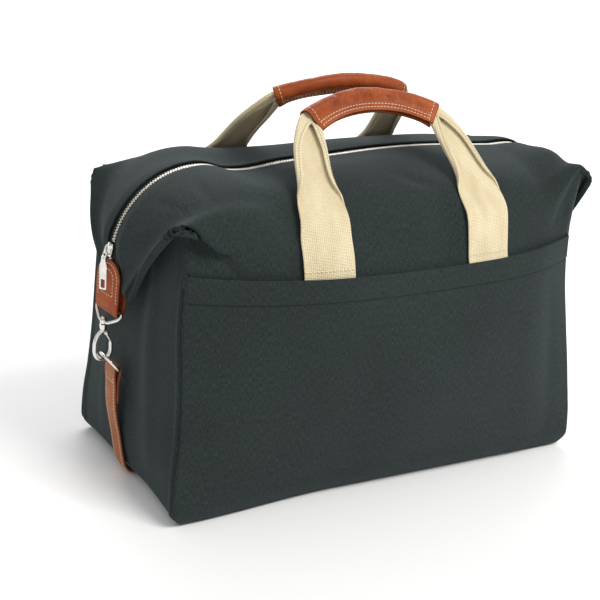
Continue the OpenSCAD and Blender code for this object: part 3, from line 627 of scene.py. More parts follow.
for name, side in (("left", -1), ("right", 1)):
    ob = add_sheet(name + "_end_canvas", end_panel(side), CANVAS, "bag", 1.6, flip=side < 0)
    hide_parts(name + "_end_panel")


# ---------------------------------------------------------------- front pocket
def pocket():
    s = np.linspace(-1, 1, 170)
    s = 0.45 * s + 0.55 * np.sin(s * math.pi / 2)
    top = v_of(POCKET_TOP)
    hem = top - 24.0 / SIDE
    rows = np.concatenate([np.linspace(0, hem - 0.004, 66), np.linspace(hem - 0.003, hem + 0.003, 5),
                           np.linspace(hem + 0.005, top, 14)])
    S, V = np.meshgrid(s, rows)
    out = np.where(V > hem, 0.9, 0.0) * ease(hem - 0.004, hem + 0.002, V) - 0.7 * hump(hem, 0.0035, V)
    sway = 1.6 * wander(S * 2.6, V * 2.4, 5.5) * (1 - S ** 6) * ease(0, 0.2, V)
    pull = (-2.2 * hump(0, 0.06, V - 0.10 - 0.05 * S) * hump(-0.55, 0.35, S) + 1.8 * hump(0.72, 0.10, S)
            * hump(0.35, 0.3, V) - 1.5 * hump(0.86, 0.05, S) * hump(0.35, 0.3, V))
    N = bag_normal(S, V)
    P = bag_point(S, V) + N * (out + sway + pull)[..., None]
    P[..., 2] -= 6.5 * (V / top) ** 6 * (1 - S * S)
    wrap = []
    for end in (0, -1):
        edge, n = P[:, end], N[:, end]
        outward = unit(P[:, end] - P[:, 2 if end == 0 else -3])
        wrap.append(np.stack([edge + outward * (1.7 * math.sin(a)) - n * (1.7 * (1 - math.cos(a)))
                              for a in (0.4, 0.9, 1.4, 1.9, 2.4)], 1))
    P = np.concatenate([wrap[0][:, ::-1], P, wrap[1]], 1)
    # the mouth's edge is turned in
    lip = []
    for drop, back_by in ((-0.7, 0.5), (-0.9, 1.4), (-0.5, 2.2), (2.0, 2.6), (10.0, 2.7)):
        lip.append(P[-1] - np.array([0, 1.0, 0]) * back_by - np.array([0, 0, 1.0]) * drop)
    P = np.concatenate([P, np.array(lip)], 0)
    P[..., 1] *= -1
    return lean(P)


pocket_grid = pocket()
ob = add_sheet("pocket_canvas", pocket_grid, CANVAS, "bag", 1.2, flip=False)
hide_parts("front_pocket")

s, w = np.meshgrid(np.linspace(-1, 1, 60), np.linspace(-1, 1, 30))
edge = bag_point(s, 0 * s)
ob = add_sheet("bottom_canvas", lean(np.stack([edge[..., 0], w * (edge[..., 1] - 0.6), 2.6 + 0 * s], -1)),
               CANVAS, "bag", 1.4, flip=True)
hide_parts("bottom_panel")
NODES["base_board"].data.materials.clear()
NODES["base_board"].data.materials.append(BOARD)

# ---------------------------------------------------------------- builders for webbing, stitches, wire and
# plates
def closed_rings(rings, caps=True, loop=False):
    """A skin through rings of points; with loop the last ring joins the first."""
    rings = np.asarray(rings)
    rows, cols = rings.shape[:2]
    verts = rings.reshape(-1, 3)
    faces = grid_faces(rows, cols, loop=True).tolist()
    if loop:
        c = np.arange(cols)
        n = (c + 1) % cols
        faces += np.stack([(rows - 1) * cols + c, (rows - 1) * cols + n, n, c], -1).tolist()
    elif caps:
        faces += [list(range(cols))[::-1], [(rows - 1) * cols + k for k in range(cols)]]
    return verts, faces


def tube(path, radius, sides=12, loop=False, flat=1.0, ref=(0, 1, 0)):
    """Rings of a round wire along a path that lies in a plane across ref; open ends are domed."""
    p = np.asarray(path, float)
    radius = np.broadcast_to(np.asarray(radius, float), (len(p),)).copy()
    along = unit(np.roll(p, -1, 0) - np.roll(p, 1, 0)) if loop else unit(np.gradient(p, axis=0))
    if not loop:
        dome = np.array([0.98, 0.8, 0.5])
        lift = np.sqrt(1 - dome ** 2)
        head = [p[0] - along[0] * radius[0] * h for h in lift[::-1]]
        tail = [p[-1] + along[-1] * radius[-1] * h for h in lift]
        p = np.concatenate([head, p, tail])
        along = np.concatenate([[along[0]] * 3, along, [along[-1]] * 3])
        radius = np.concatenate([radius[0] * dome[::-1], radius, radius[-1] * dome])
    side = unit(np.cross(along, np.asarray(ref, float)))
    other = np.cross(along, side)
    turn = np.arange(sides) / sides * 2 * math.pi
    return (p[:, None] + radius[:, None, None]
            * (np.cos(turn)[None, :, None] * side[:, None] + flat * np.sin(turn)[None, :, None]
            * other[:, None]))


def merge(parts):
    verts, faces, base = [], [], 0
    for v, f in parts:
        verts.append(np.asarray(v))
        faces += [[i + base for i in face] for face in f]
        base += len(v)
    return np.concatenate(verts), faces


def rounded(points, r, loop=False, steps=7):
    """The line through the points with its corners eased by quarter-like turns of about r."""
    p = np.asarray(points, float)
    n, out = len(p), []
    for i in range(n):
        if not loop and i in (0, n - 1):
            out.append(p[i])
            continue
        a, b, c = p[i - 1], p[i], p[(i + 1) % n]
        ra = min(r, 0.48 * np.linalg.norm(a - b), 0.48 * np.linalg.norm(c - b))
        s, e = b + unit(a - b) * ra, b + unit(c - b) * ra
        for k in range(steps + 1):
            q = k / steps
            out.append(s * (1 - q) ** 2 + 2 * b * q * (1 - q) + e * q * q)
    return np.array(out)


def scatter(verts, faces, origins, x, y, z):
    """Copies of a small template, each in its own place and axes."""
    verts, faces = np.asarray(verts, float), np.asarray(faces)
    put = (origins[:, None] + verts[None, :, 0:1] * x[:, None] + verts[None, :, 1:2] * y[:, None]
           + verts[None, :, 2:3] * z[:, None])
    count = len(origins)
    return put.reshape(-1, 3), (faces[None] + (np.arange(count) * len(verts))[:, None, None]).reshape(-1,
           faces.shape[1])


def stitch_template():
    along, size, sides = (np.array([-1, -0.86, -0.35, 0.35, 0.86, 1]),
                          np.array([0.25, 0.8, 1, 1, 0.8, 0.25]), 6)
    turn = np.arange(sides) / sides * 2 * math.pi
    v = np.stack([np.broadcast_to(along[:, None], (6, sides)), size[:, None] * np.cos(turn), size[:, None]
                  * np.sin(turn)], -1).reshape(-1, 3)
    return v, grid_faces(6, sides, loop=True)


def stitches(name, rows, mat, body, length=2.5, gap=1.2, thick=0.42, join=None):
    """Rows of thread, each row a line of points with the cloth's normals at them."""
    places, normals, tangents = [], [], []
    for points, facing in rows:
        points, facing = np.asarray(points, float), np.asarray(facing, float)
        run = np.concatenate([[0], np.cumsum(np.linalg.norm(np.diff(points, axis=0), axis=1))])
        count = max(1, int(run[-1] / (length + gap)))
        at = (np.arange(count) + 0.5) * run[-1] / count
        half = length / 2
        get = lambda q: np.stack([np.interp(q, run, points[:, k]) for k in range(3)], -1)
        places.append(get(at))
        tangents.append(unit(get(np.minimum(at + half, run[-1])) - get(np.maximum(at - half, 0))))
        normals.append(unit(np.stack([np.interp(at, run, facing[:, k]) for k in range(3)], -1)))
    o, n, t = np.concatenate(places), np.concatenate(normals), np.concatenate(tangents)
    b = unit(np.cross(n, t))
    tilt = 0.10 * RNG.uniform(-1, 1, (len(o), 1))
    t = unit(t + b * tilt)
    b = unit(np.cross(n, t))
    v, f = stitch_template()
    verts, faces = scatter(v, f, o + n * thick * 0.25, t * length / 2, b * thick, n * thick * 0.8)
    ob = add_mesh(name, verts, faces, mat, None if join else body)
    if join:
        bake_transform(ob)
    return ob


def plate(name, outlines, thick, bevel, origin, x, y, mat, body):
    """A flat plate cut to the first outline, with the others as holes, and with eased edges."""
    curve = bpy.data.curves.new(name, "CURVE")
    curve.dimensions, curve.fill_mode = "2D", "BOTH"
    curve.extrude, curve.bevel_depth, curve.bevel_resolution, curve.offset = ((thick / 2 - bevel), bevel,
            2, -bevel)
    for outline in outlines:
        spline = curve.splines.new("POLY")
        spline.points.add(len(outline) - 1)
        for point, (a, b) in zip(spline.points, outline):
            point.co = (a, b, 0, 1)
        spline.use_cyclic_u = True
    holder = bpy.data.objects.new(name + "_curve", curve)
    scene.collection.objects.link(holder)
    bpy.context.view_layer.update()
    shape = holder.evaluated_get(bpy.context.evaluated_depsgraph_get()).to_mesh()
    co = np.array([v.co for v in shape.vertices])
    polys = [list(p.vertices) for p in shape.polygons]
    holder.to_mesh_clear()
    bpy.data.objects.remove(holder)
    x, y = np.asarray(x, float), np.asarray(y, float)
    z = np.cross(x, y)
    verts = np.asarray(origin) + co[:, 0:1] * x + co[:, 1:2] * y + co[:, 2:3] * z
    ob = add_mesh(name, verts, polys, mat, body)
    ob.data.set_sharp_from_angle(angle=math.radians(35))
    return ob


def leather_edge(ob, edge_mat):
    ob.data.materials.append(edge_mat)
    ob.modifiers["thickness"].material_offset_rim = 1


# ---------------------------------------------------------------- handles
WEB = 26.0   # half its width
GRIP_R = (75.0 ** 2 + 23.0 ** 2) / 46.0
GRIP_TURN = math.asin(75.0 / GRIP_R)


class Handle:
    def __init__(self, front):
        self.front = front
        self.sign = -1.0 if front else 1.0
        self.hinge = np.array([0, -121.879, 290.535]) if front else np.array([0, 122.849, 291.35])
        rise = (np.array([0, -30.0, 388.0]) if front else np.array([0, 14.0, 396.0])) - self.hinge
        self.reach = float(np.linalg.norm(rise))
        self.up = rise / self.reach
        self.facing = np.array([0, -self.up[2], self.up[1]])

    def flat(self, q):
        """Path in the handle's own plane, q 0..1 up the left leg, 1..2 over the grip, 2..3 down the right
        leg."""
        q = np.asarray(q, float)
        end = np.array([GRIP_R * math.sin(GRIP_TURN), self.reach - GRIP_R * (1 - math.cos(GRIP_TURN))])
        a, b = np.array([94.0, 0.4]), np.array([95.0, 0.45 * end[1]])
        c = end + 14 * np.array([math.cos(math.radians(57)), -math.sin(math.radians(57))])
        t = np.where(q < 1, np.clip(q, 0, 1), np.clip(3 - q, 0, 1))[..., None]
        leg = a * (1 - t) ** 3 + b * 3 * t * (1 - t) ** 2 + c * 3 * t * t * (1 - t) + end * t ** 3
        leg = leg * np.stack([np.where(q < 1.5, -1.0, 1.0), np.ones_like(q)], -1)
        turn = (q - 1.5) * 2 * GRIP_TURN
        arch = np.stack([GRIP_R * np.sin(turn), self.reach - GRIP_R * (1 - np.cos(turn))], -1)
        return np.where(((q > 1) & (q < 2))[..., None], arch, leg)

    def frame(self, q):
        """Point, direction along, direction across (outwards) for each q, in space."""
        p, d = self.flat(q), 0.004
        run = unit(self.flat(np.minimum(q + d, 3)) - self.flat(np.maximum(q - d, 0)))
        to = lambda v: v[..., 0:1] * np.array([1.0, 0, 0]) + v[..., 1:2] * self.up
        across = np.stack([-run[..., 1], run[..., 0]], -1)
        return to(p) + self.hinge, to(run), to(across)


half_width = smooth_table([0, 0.09, 0.17, 0.29, 0.38, 0.5, 0.6, 0.7, 0.84, 0.95, 1.03, 1.2],
                          [26.0, 25.6, 22.6, 17.6, 16.4, 15.8, 15.2, 13.8, 11.6, 10.0, 8.8, 8.4])


def web_section(u, half, curl, r):
    """Where a point u along the webbing's width lies once the edges beyond half are folded over: across,
    and forward."""
    side, size = np.sign(u), np.abs(u)
    past = np.maximum(size - half, 0)
    turn = np.minimum(past / r, curl)
    rest = np.minimum(past - r * turn, 2 * half - 2)
    flat = np.minimum(size, half)
    dip = -0.9 * (1 - (flat / np.maximum(half, 1)) ** 2) * np.clip(curl, 0, 1)
    return (side * (flat + r * np.sin(turn) + rest * np.cos(turn)), dip + r * (1 - np.cos(turn)) + rest
            * np.sin(turn), turn)


def webbing_grid(h, u):
    """The whole length of one handle's webbing: foot, leg, through the grip, leg and foot."""
    feet_z = np.linspace(240.6, 289.5, 29)
    legs = np.linspace(0, 1, 56)
    r = np.where(u > 0, 1.9, 2.35)

    def foot_row(z, side):
        x = side * (94.0 + u)
        flare = 0.8 * np.sin(z / 9.0 + side) * (np.abs(u) / WEB) ** 4
        s = x / seam_x(250)
        v = np.full_like(s, v_of(z))
        n = bag_normal(s, v)
        p = skin(h.front, s, v) + n * (2.2 + flare + 1.1 * hump(262, 14, z) + 1.2 * hump(0, 20, u)
                                       * hump(262, 16, z))[:, None]
        p[:, 1] *= h.sign
        n[:, 1] *= h.sign
        return lean(p), n

    def leg_row(q):
        e = min(q, 3 - q)
        p, _, across = h.frame(np.array([q]))
        inside = float(ease(0.93, 1.05, e))
        a, b, turn = web_section(u, float(half_width(e)), math.pi * 0.985 * float(ease(0.07, 0.25, e)), r
                                 * (1 - 0.4 * inside))
        a, b = a + 1.9 * inside, b - 1.6 * ease(0.55, 0.9, e) + 0.3 * inside
        wave = 0.7 * math.sin(q * 9 + (0 if q < 1.5 else 2)) * ease(0.05, 0.3, e) * ease(1.0, 0.8, min(e, 1))
        pts = p + across * a[:, None] + h.facing * (b + wave)[:, None]
        n = np.cos(turn)[:, None] * h.facing - np.sign(u)[:, None] * np.sin(turn)[:, None] * across
        return pts, n

    rows = [foot_row(z, -1) for z in feet_z] + [leg_row(q) for q in legs]
    rows += [leg_row(q) for q in np.linspace(1, 2, 31)[1:-1]]
    rows += [leg_row(3 - q) for q in legs[::-1]] + [foot_row(z, 1) for z in feet_z[::-1]]
    P, N = np.array([r[0] for r in rows]), np.array([r[1] for r in rows])
    # ease the bend where the webbing leaves the bag
    count = len(feet_z)
    for side in (0, 1):
        at = count if side == 0 else len(P) - count
        for _ in range(34):
            lo, hi = (at - 11, at + 9) if side else (at - 9, at + 11)
            mid = (P[lo - 1:hi - 1] + P[lo + 1:hi + 1]) / 2
            k = 0.5 * np.sin(np.linspace(0.15, math.pi - 0.15, hi - lo))[:, None, None]
            P[lo:hi] += (mid - P[lo:hi]) * k
        push = hump(at, 7, np.arange(len(P)))[:, None, None] * 2.6
        P += push * np.array([0, h.sign * 0.8, 0.6])
    return P, N


def join_of(h):
    start = h.hinge + np.array([0, 0, -7.0])
    return ("bag", "front_handle" if h.front else "back_handle", tuple(start * 0.001),
            tuple((h.hinge + h.up * 9.0) * 0.001))


EDGE = material("leather_edge", leather_of((0.10, 0.022, 0.008), (0.15, 0.034, 0.012), (0.20, 0.05, 0.02),
                                           0.5))
TAN_EDGE = material("leather_tan_edge",
                    leather_of((0.13, 0.045, 0.018), (0.20, 0.07, 0.03), (0.26, 0.10, 0.045), 0.55))
LINEN = material("thread_linen", thread_of((0.34, 0.31, 0.23)))

grip_side = smooth_table([0, 4, 8, 12, 16, 20], [3.2, 3.3, 3.7, 4.8, 6.4, 7.3])


def grip_section():
    """Closed over the top and open below: heights and thicknesses from the front's lower edge over to the
    back's."""
    low = [(-13.5 + a, float(grip_side(a))) for a in np.linspace(0, 14.6, 13)]
    top = [(6 + 7.5 * math.cos(t), 7.5 * math.sin(t))
           for t in np.linspace(math.radians(112), math.radians(-112), 27)]
    return np.array(low + top + [(a, -b) for a, b in low[::-1]])


for h in (Handle(True), Handle(False)):
    word = "front" if h.front else "back"
    u = np.concatenate([np.linspace(-WEB, -10, 22), np.linspace(-8, 8, 8), np.linspace(10, WEB, 22)])
    P, N = webbing_grid(h, u)
    run = np.concatenate([[0], np.cumsum(np.linalg.norm(np.diff(P[:, len(u) // 2], axis=0), axis=1))])
    flat_uv = np.stack(np.broadcast_arrays(u[None], run[:, None]), -1).reshape(-1, 2)
    ob = add_sheet(word + "_webbing", P, WEBBING, None, 1.7, offset=0.0, blend=True, uvs=flat_uv)
    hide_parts(word + "_webbing_feet", word + "_handle_webbing")
    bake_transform(ob)
    # thread: across each foot, and along each folded edge
    rows = []
    for at in (5, len(P) - 6):
        rows.append((P[at] + N[at] * 0.95, N[at]))
    thread_u = [int(np.argmin(np.abs(u - WEB + 3))), int(np.argmin(np.abs(u + WEB - 3)))]
    for k in thread_u:
        for a, b in ((42, 83), (len(P) - 83, len(P) - 42)):
            face = -N[a:b, k]
            rows.append((P[a:b, k] + face * 0.9, face))
    stitches(word + "_webbing_thread", rows[:2], CREAM, None, 2.8, 1.1, 0.62, join_of(h))
    stitches(word + "_webbing_edge_thread", rows[2:], LINEN, None, 1.8, 1.3, 0.42, join_of(h))

    # the leather grip
    section = grip_section()
    q = np.linspace(1.012, 1.988, 110)
    p, run, across = h.frame(q)
    tangent = unit(np.gradient(section, axis=0))
    out = np.stack([tangent[:, 1], -tangent[:, 0]], -1)
    out = np.where((out[:, :1] * (section[:, :1] - 4) + out[:, 1:] * section[:, 1:]) < 0, -out, out)
    length = (q - 1.5)[:, None] * 160
    gather = hump(5.5, 6.5, section[:, 0])[None] * (0.9 if h.front else 0.35)
    inner = ease(0.46, 0.25, np.abs(q - 1.5))[:, None]
    pucker = gather * inner * (0.85 * np.sin(length / 1.75 + 0.9 * np.sin(length / 7.0))
                               * hump(0, 6.5, section[:, 0] - 3)[None] + 0.5
                               * np.sin(length / 3.3 + section[:, 0][None] * 0.35))
    soft = 0.35 * np.sin(length / 11.0 + section[:, 0][None] / 5.0)
    slim = 1 + 0.05 * ease(0.3, 0.5, np.abs(q - 1.5))[:, None]
    sa, sb = (section[:, 0][None] * slim + out[:, 0][None] * (pucker + soft), section[:, 1][None] * slim
              + out[:, 1][None] * (pucker + soft))
    mouth = ease(0.40, 0.488, np.abs(q - 1.5))[:, None] * ease(8, -6, section[:, 0])[None]
    sb = sb + np.sign(section[:, 1])[None] * 1.5 * mouth
    G = p[:, None] + across[:, None] * sa[..., None] + h.facing * sb[..., None]
    ob = add_sheet(word + "_grip_leather", G, COGNAC, word + "_handle", 1.9, flip=True)
    leather_edge(ob, EDGE)
    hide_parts(word + "_grip")
    Nn = np.cross(np.gradient(G, axis=1), np.gradient(G, axis=0))
    Nn = unit(Nn)
    middle = p[:, None] + across[:, None] * 2.0
    Nn = np.where((np.sum(Nn * (G - middle), -1) < 0)[..., None], -Nn, Nn)
    rows = []
    for k in (3, 6, len(section) - 7, len(section) - 4):
        rows.append((G[4:-4, k], Nn[4:-4, k]))
    for k in (4, len(G) - 5):
        rows.append((G[k, 1:-1], Nn[k, 1:-1]))
    stitches(word + "_grip_thread", rows, CREAM, word + "_handle", 2.5, 1.25, 0.42)


# ---------------------------------------------------------------- zip
size_table = np.linspace(0, 1, 200)
dist_table = ZIP_HALF * size_table * (CORNER[0] / ZIP_HALF + (1 - CORNER[0] / ZIP_HALF) * size_table ** 4)


def zip_line(dist, depth):
    """Point on the zip's line, direction along it and direction out of it."""
    def at(d):
        x, z = zip_xz(d, depth)
        z = z + ridge_wave(x) * ease(1.0, 0.75, np.interp(np.abs(d), dist_table, size_table))
        return np.stack([x + 6.0 * ease(200, 245, x) * ease(250, 292, z), 0 * x, z + stand(x, 0.0, z)], -1)
    p, run = at(dist), unit(at(dist + 0.5) - at(dist - 0.5))
    return p, run, np.stack([-run[..., 2], 0 * run[..., 0], run[..., 0]], -1)


for word, sign in (("front", -1.0), ("back", 1.0)):
    d = np.linspace(-ZIP_HALF + 5, ZIP_HALF - 5, 420)
    p, run, out = zip_line(d, -3.2)
    across = np.array([3.0, 3.6, 4.4, 6, 8, 10, 12, 14, 16.5])
    rise = np.array([0.9, 1.0, 0.35, 0.1, 0, 0, 0, 0, 0])
    T = p[:, None] + out[:, None] * rise[None, :, None] + np.array([0, sign, 0]) * across[None, :, None]
    ob = add_sheet("zip_tape_cloth_" + word, T, TAPE, "bag", 1.0, flip=sign > 0)
    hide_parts("zip_tape_" + word)
    pitch = 3.0
    d = np.arange(-ZIP_HALF + 13, ZIP_HALF - 13, pitch) + (pitch / 2 if sign > 0 else 0)
    keep = ~((d < -(FLAT + BEND * math.radians(90 - 12.6))) & (d > -(FLAT + BEND * math.radians(90 - 2.8))))
    p, run, out = zip_line(d[keep], -3.3)
    ring = np.array([(-0.60, -0.8), (0.60, -0.8), (0.68, -0.3), (0.70, 1.6), (0.66, 2.8), (0.45, 3.3),
                     (-0.45, 3.3), (-0.66, 2.8), (-0.70, 1.6), (-0.68, -0.3)])
    levels = [(-1.7, 0.75), (-1.3, 1.0), (1.2, 1.0), (1.65, 0.86), (1.85, 0.55)]
    v = np.array([[a * k, 1.15 + (b - 1.15) * k, z] for z, k in levels for a, b in ring])
    n = len(ring)
    f = [[i * n + k, i * n + (k + 1) % n, (i + 1) * n + (k + 1) % n, (i + 1) * n + k]
         for i in range(len(levels) - 1) for k in range(n)]
    top = (len(levels) - 1) * n
    f += [[top + 0, top + 1, top + 2, top + 9], [top + 2, top + 3, top + 8, top + 9],
          [top + 3, top + 4, top + 7, top + 8], [top + 4, top + 5, top + 6, top + 7]]
    aside = np.broadcast_to(np.array([0, sign, 0.0]), p.shape)
    verts, faces = scatter(v, f, p, run, aside, out)
    ob = add_mesh("zip_teeth_metal_" + word, verts, faces, TEETH, "bag")
    ob.data.set_sharp_from_angle(angle=math.radians(40))
    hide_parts("zip_teeth_" + word)

# slider: two plates and a bridge
turn = math.radians(7.7)
mid = np.array([-(FLAT + BEND * math.cos(turn)), 0, BEND_Z + BEND * math.sin(turn)])
out = np.array([-math.cos(turn), 0, math.sin(turn)])
upward = np.array([math.sin(turn), 0, math.cos(turn)])
shield = rounded([(-4.3, -7.0), (4.3, -7.0), (5.0, -1.0), (6.2, 3.5), (5.2, 7.0), (1.5, 6.0), (-1.5, 6.0),
                  (-5.2, 7.0), (-6.2, 3.5), (-5.0, -1.0)], 1.8, True, 5)
crosswise = np.array([0, 1.0, 0])
top_plate = plate("slider_top_plate", [shield], 1.5, 0.4, mid + out * -0.5, crosswise, upward, NICKEL,
                  "slider")
low_plate = plate("slider_low_plate", [shield], 1.5, 0.4, mid + out * -6.7, crosswise, upward, NICKEL,
                  "slider")
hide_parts("zip_slider")
bridge = [mid + upward * a + out * b for a,
          b in rounded([(-4.8, 0.0), (-4.6, 3.6), (-1.5, 4.7), (1.5, 4.7), (4.6, 3.6), (4.8, 0.0)], 2.2,
          False, 5)]
v, f = closed_rings(tube(bridge, 0.95, 10, flat=1.45))
bridge_ob = add_mesh("slider_bridge", v, f, NICKEL, "slider")
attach(bridge_ob, "slider")

# pull: its link round the bridge, and the flat bar with a window
axis = np.array([-268.324, 0, 245.023])
down = -np.array([math.sin(math.radians(20)), 0, math.cos(math.radians(20))])
loop = [axis + crosswise * a + down * b for a,
        b in rounded([(-3.4, -0.2), (3.4, -0.2), (3.4, 8.7), (-3.4, 8.7)], 3.0, True, 6)]
face_out = np.cross(crosswise, down)
v, f = closed_rings(tube(loop, 0.85, 10, loop=True, ref=tuple(face_out)), loop=True)
ob = add_mesh("pull_link_wire", v, f, NICKEL, "pull_link")
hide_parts("zip_pull_link")
end = axis + down * 8.5
swing = math.radians(34)
bar_across = np.array([-math.sin(swing), math.cos(swing), 0])
outer = rounded([(-2.3, 2.2), (2.3, 2.2), (2.6, -3.5), (4.2, -7.5), (4.2, -33.0), (-4.2, -33.0),
                 (-4.2, -7.5), (-2.6, -3.5)], 1.4, True, 5)
window = rounded([(-2.3, -31.0), (2.3, -31.0), (2.3, -22.5), (-2.3, -22.5)], 0.8, True, 4)[::-1]
eye_hole = [(1.0 * math.cos(a), 1.0 * math.sin(a) - 0.1) for a in np.linspace(0, -2 * math.pi, 17)[:-1]]
ob = plate("pull_bar", [outer, window, eye_hole], 1.8, 0.42, end, bar_across, (0, 0, 1), NICKEL, "pull")
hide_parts("zip_pull")


# ---------------------------------------------------------------- tabs, hooks, rings and straps at each end
def mirrored(points, side):
    return np.asarray(points, float) * np.array([side, 1, 1])


def wire_piece(name, path, radius, body, side, loop=False, sides=12, ref=(0, 1, 0), flat=1.0, extra=()):
    parts = [closed_rings(tube(mirrored(path, side), radius, sides, loop, flat,
                               tuple(np.array(ref) * [side, 1, 1])), loop=loop)]
    parts += [closed_rings(mirrored(r, side)) for r in extra]
    v, f = merge(parts)
    ob = add_mesh(name, v, f, NICKEL, body)
    ob.data.set_sharp_from_angle(angle=math.radians(50))
    return ob


def turned(profile, at, sides=20):
    """Rings of a shape turned about a vertical line: (radius, height) pairs."""
    turn = np.arange(sides) / sides * 2 * math.pi
    return np.array([[(at[0] + r * math.cos(a), at[1] + r * math.sin(a), z) for a in turn] for r,
                     z in profile])


def strip_normals(P):
    return unit(np.cross(np.gradient(P, axis=1), np.gradient(P, axis=0)))


TAB = 19.0
TAB_Z = 236 - TAB


def twist(points, degrees, roll):
    """Turned about the vertical through the eye's bar, and rolled in its own plane, as the soft ear carries
    it."""
    a, b = math.radians(degrees), math.radians(roll)
    p = np.array(points, float) - np.array([263.2, 0, 184.0])
    p = np.stack([p[..., 0], p[..., 1] * math.cos(b) - p[..., 2] * math.sin(b), p[..., 2] * math.cos(b)
                  + p[..., 1] * math.sin(b)], -1)
    p = np.stack([p[..., 0] * math.cos(a) + p[..., 1] * math.sin(a), p[..., 1] * math.cos(a) - p[..., 0]
                  * math.sin(a), p[..., 2]], -1)
    return p + np.array([263.2, 0, 184.0])


